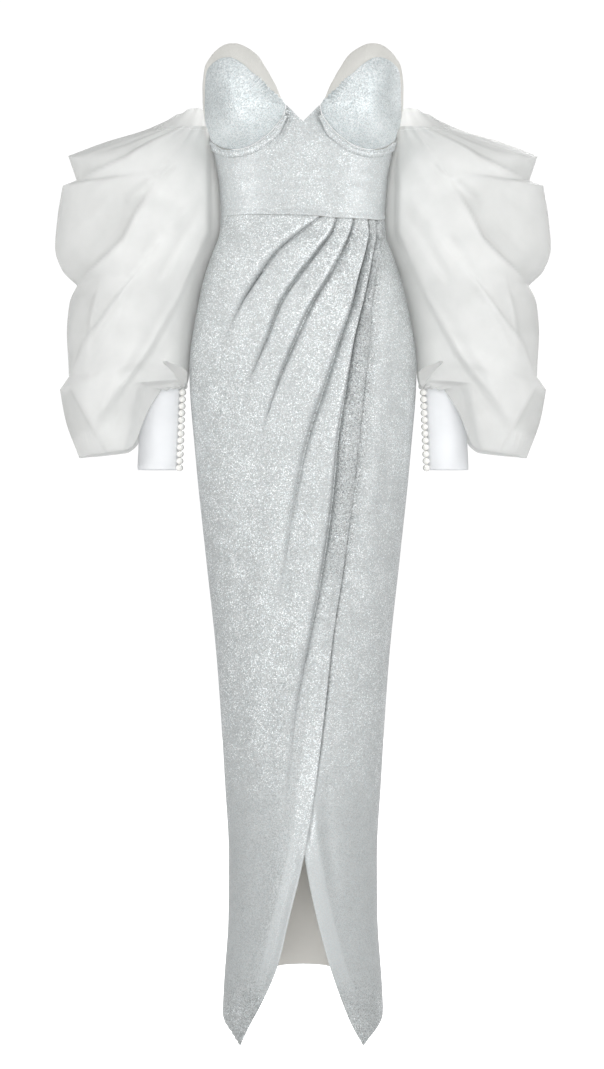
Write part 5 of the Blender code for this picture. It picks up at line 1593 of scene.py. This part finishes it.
def build_cuff(side, materials):
    name = SIDE_NAMES[side]
    degrees = CUFF_LAP_EDGE + np.linspace(0, CUFF_SWEEP, CUFF_COLUMNS)
    height, degrees = np.broadcast_arrays(np.linspace(CUFF_TOP, CUFF_BOTTOM, CUFF_ROWS)[:, None], degrees)
    out = -(SATIN_CLOTH + CUFF_LAP_GAP) * ramp(*CUFF_STEPS_IN, degrees)
    phase = np.radians(CUFF_SWAY_WAVES * degrees + CUFF_SWAY_PHASE) + CUFF_SWAY_TWIST * height
    sway = np.sin(phase) * np.sin((height - CUFF_TOP) * CUFF_SWAY_RATE)
    out = out + CUFF_SWAY * sway * ramp(*CUFF_SWAY_STARTS, degrees) * ramp(*CUFF_SWAY_ENDS, degrees)
    outer, normal = cuff_point(np.radians(degrees), height, out, side)
    outer = tuck_edges(outer, normal, first_row=CUFF_TUCK, last_row=CUFF_TUCK, first_column=CUFF_TUCK)
    normal = grid_normals(outer, normal)
    cuff = sew(f"cuff_{name}", "white_satin", outer, normal, SATIN_CLOTH, (materials["satin"],))
    insets = {edge: CUFF_STITCHED for edge in ("first_column", "first_row", "last_row")}
    stitch_edges(f"cuff_stitches_{name}", outer, normal, insets, materials["satin"], "white_satin", lift=0)


def add_tube(built, path, radius):
    """Adds a closed tube along a path to a bmesh."""
    rings = []
    angles = np.linspace(0, 2 * math.pi, LOOP_SIDES, endpoint=False)
    for place, direction in zip(path, unit(np.gradient(path, axis=0))):
        across = unit(np.cross(direction, OFF_AXIS))
        up = np.cross(direction, across)
        girth = [math.cos(angle) * across + math.sin(angle) * up for angle in angles]
        rings.append([built.verts.new(place + radius * offset) for offset in girth])
    for one, two in zip(rings[:-1], rings[1:]):
        for corner in range(LOOP_SIDES):
            following = (corner + 1) % LOOP_SIDES
            built.faces.new((one[corner], one[following], two[following], two[corner]))
    built.faces.new(rings[0])
    built.faces.new(rings[-1])


def build_buttons(side, materials):
    name = SIDE_NAMES[side]
    ball = bmesh.new()
    bmesh.ops.create_uvsphere(
        ball, u_segments=BUTTON_SEGMENTS, v_segments=BUTTON_RINGS, radius=BUTTON_RADIUS
    )
    pearl = mesh_of(f"pearl_{name}", ball, materials["pearl"])
    loops = bmesh.new()
    hooked = np.radians(np.linspace(-LOOP_SWEEP, LOOP_SWEEP, LOOP_STEPS))
    hook_out = -side * LOOP_REACH * np.cos(hooked)
    hook_up = LOOP_HALF_HEIGHT * np.sin(hooked)
    hook = np.stack([hook_out, np.full_like(hooked, LOOP_BACK), hook_up], axis=-1)
    for number, height in enumerate(np.linspace(FIRST_BUTTON, LAST_BUTTON, BUTTONS), 1):
        place = cuff_point(math.radians(BUTTON_ANGLE), height, BUTTON_RADIUS + SEAM, side)[0]
        button = add_piece(f"pearl_{name}_{number:02d}", pearl)
        button.location = place
        dress(button, "pearl", f"button_{name}_{number:02d}")
        add_tube(loops, place + hook, LOOP_RADIUS)
    bmesh.ops.recalc_face_normals(loops, faces=loops.faces)
    mesh = mesh_of(f"button_loops_{name}", loops, materials["loop"])
    dress(add_piece(f"button_loops_{name}", mesh), "white_satin")


def finish_zip(materials):
    """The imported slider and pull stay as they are, in a better metal."""
    for name in ("zip_slider", "zip_pull"):
        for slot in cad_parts[name].material_slots:
            slot.material = materials["metal"]


def build_studio():
    """A plain white floor, a white surround, soft lights and the camera."""
    scene = bpy.context.scene
    scene.view_settings.view_transform = "Standard"
    scene.world = bpy.data.worlds.new("surround")
    scene.world.use_nodes = True
    tree = scene.world.node_tree
    rays = add_node(tree, "LightPath", "Is Camera Ray")
    strength = calculate(tree, "MULTIPLY_ADD", rays, SEEN_LIGHT - WORLD_LIGHT, WORLD_LIGHT)
    feed(tree, "Strength", strength, "Background")
    tree.nodes["Background"].inputs["Color"].default_value = (1, 1, 1, 1)

    disc = bmesh.new()
    bmesh.ops.create_circle(disc, cap_ends=True, segments=FLOOR_SEGMENTS, radius=FLOOR_RADIUS)
    glow = {"Emission Color": (1, 1, 1, 1)}
    paint, tree = new_material("floor_paint", FLOOR_COLOR, FLOOR_ROUGHNESS, glow)
    rays = add_node(tree, "LightPath", "Is Camera Ray")
    feed(tree, "Emission Strength", calculate(tree, "MULTIPLY", rays, FLOOR_LIFT))
    floor = add_piece("studio_floor", mesh_of("studio_floor", disc, paint))
    floor.location = (0, 0, FLOOR_HEIGHT)

    for row in LIGHTS:
        light = bpy.data.lights.new(row.name, "AREA")
        light.shape = "DISK"
        light.size = row.size
        light.energy = row.energy
        lamp = add_piece(row.name, light)
        lamp.location = row.place
        across, along, up = np.subtract(row.target, row.place)
        tilt = math.atan2(math.hypot(across, along), -up)
        lamp.rotation_euler = (tilt, 0, math.atan2(along, across) - math.pi / 2)

    lens = bpy.data.cameras.new("camera")
    lens.sensor_width = SENSOR
    lens.lens = SENSOR * CAMERA_DISTANCE / FRAME_HEIGHT
    camera = add_piece("camera", lens)
    camera.location = (CAMERA_ACROSS, -CAMERA_DISTANCE, CAMERA_HEIGHT)
    camera.rotation_euler = (math.pi / 2, 0, 0)
    scene.camera = camera


def build_scene():
    materials = make_materials()
    build_bodice(materials)
    build_wrap(materials)
    build_under(materials)
    build_skirt_backs(materials)
    for side in (LEFT, RIGHT):
        build_cups(side, materials)
        build_casing(side, materials)
        build_sleeve(side, materials)
        build_cuff(side, materials)
        build_buttons(side, materials)
    finish_zip(materials)
    build_studio()


build_scene()
bpy.context.view_layer.update()
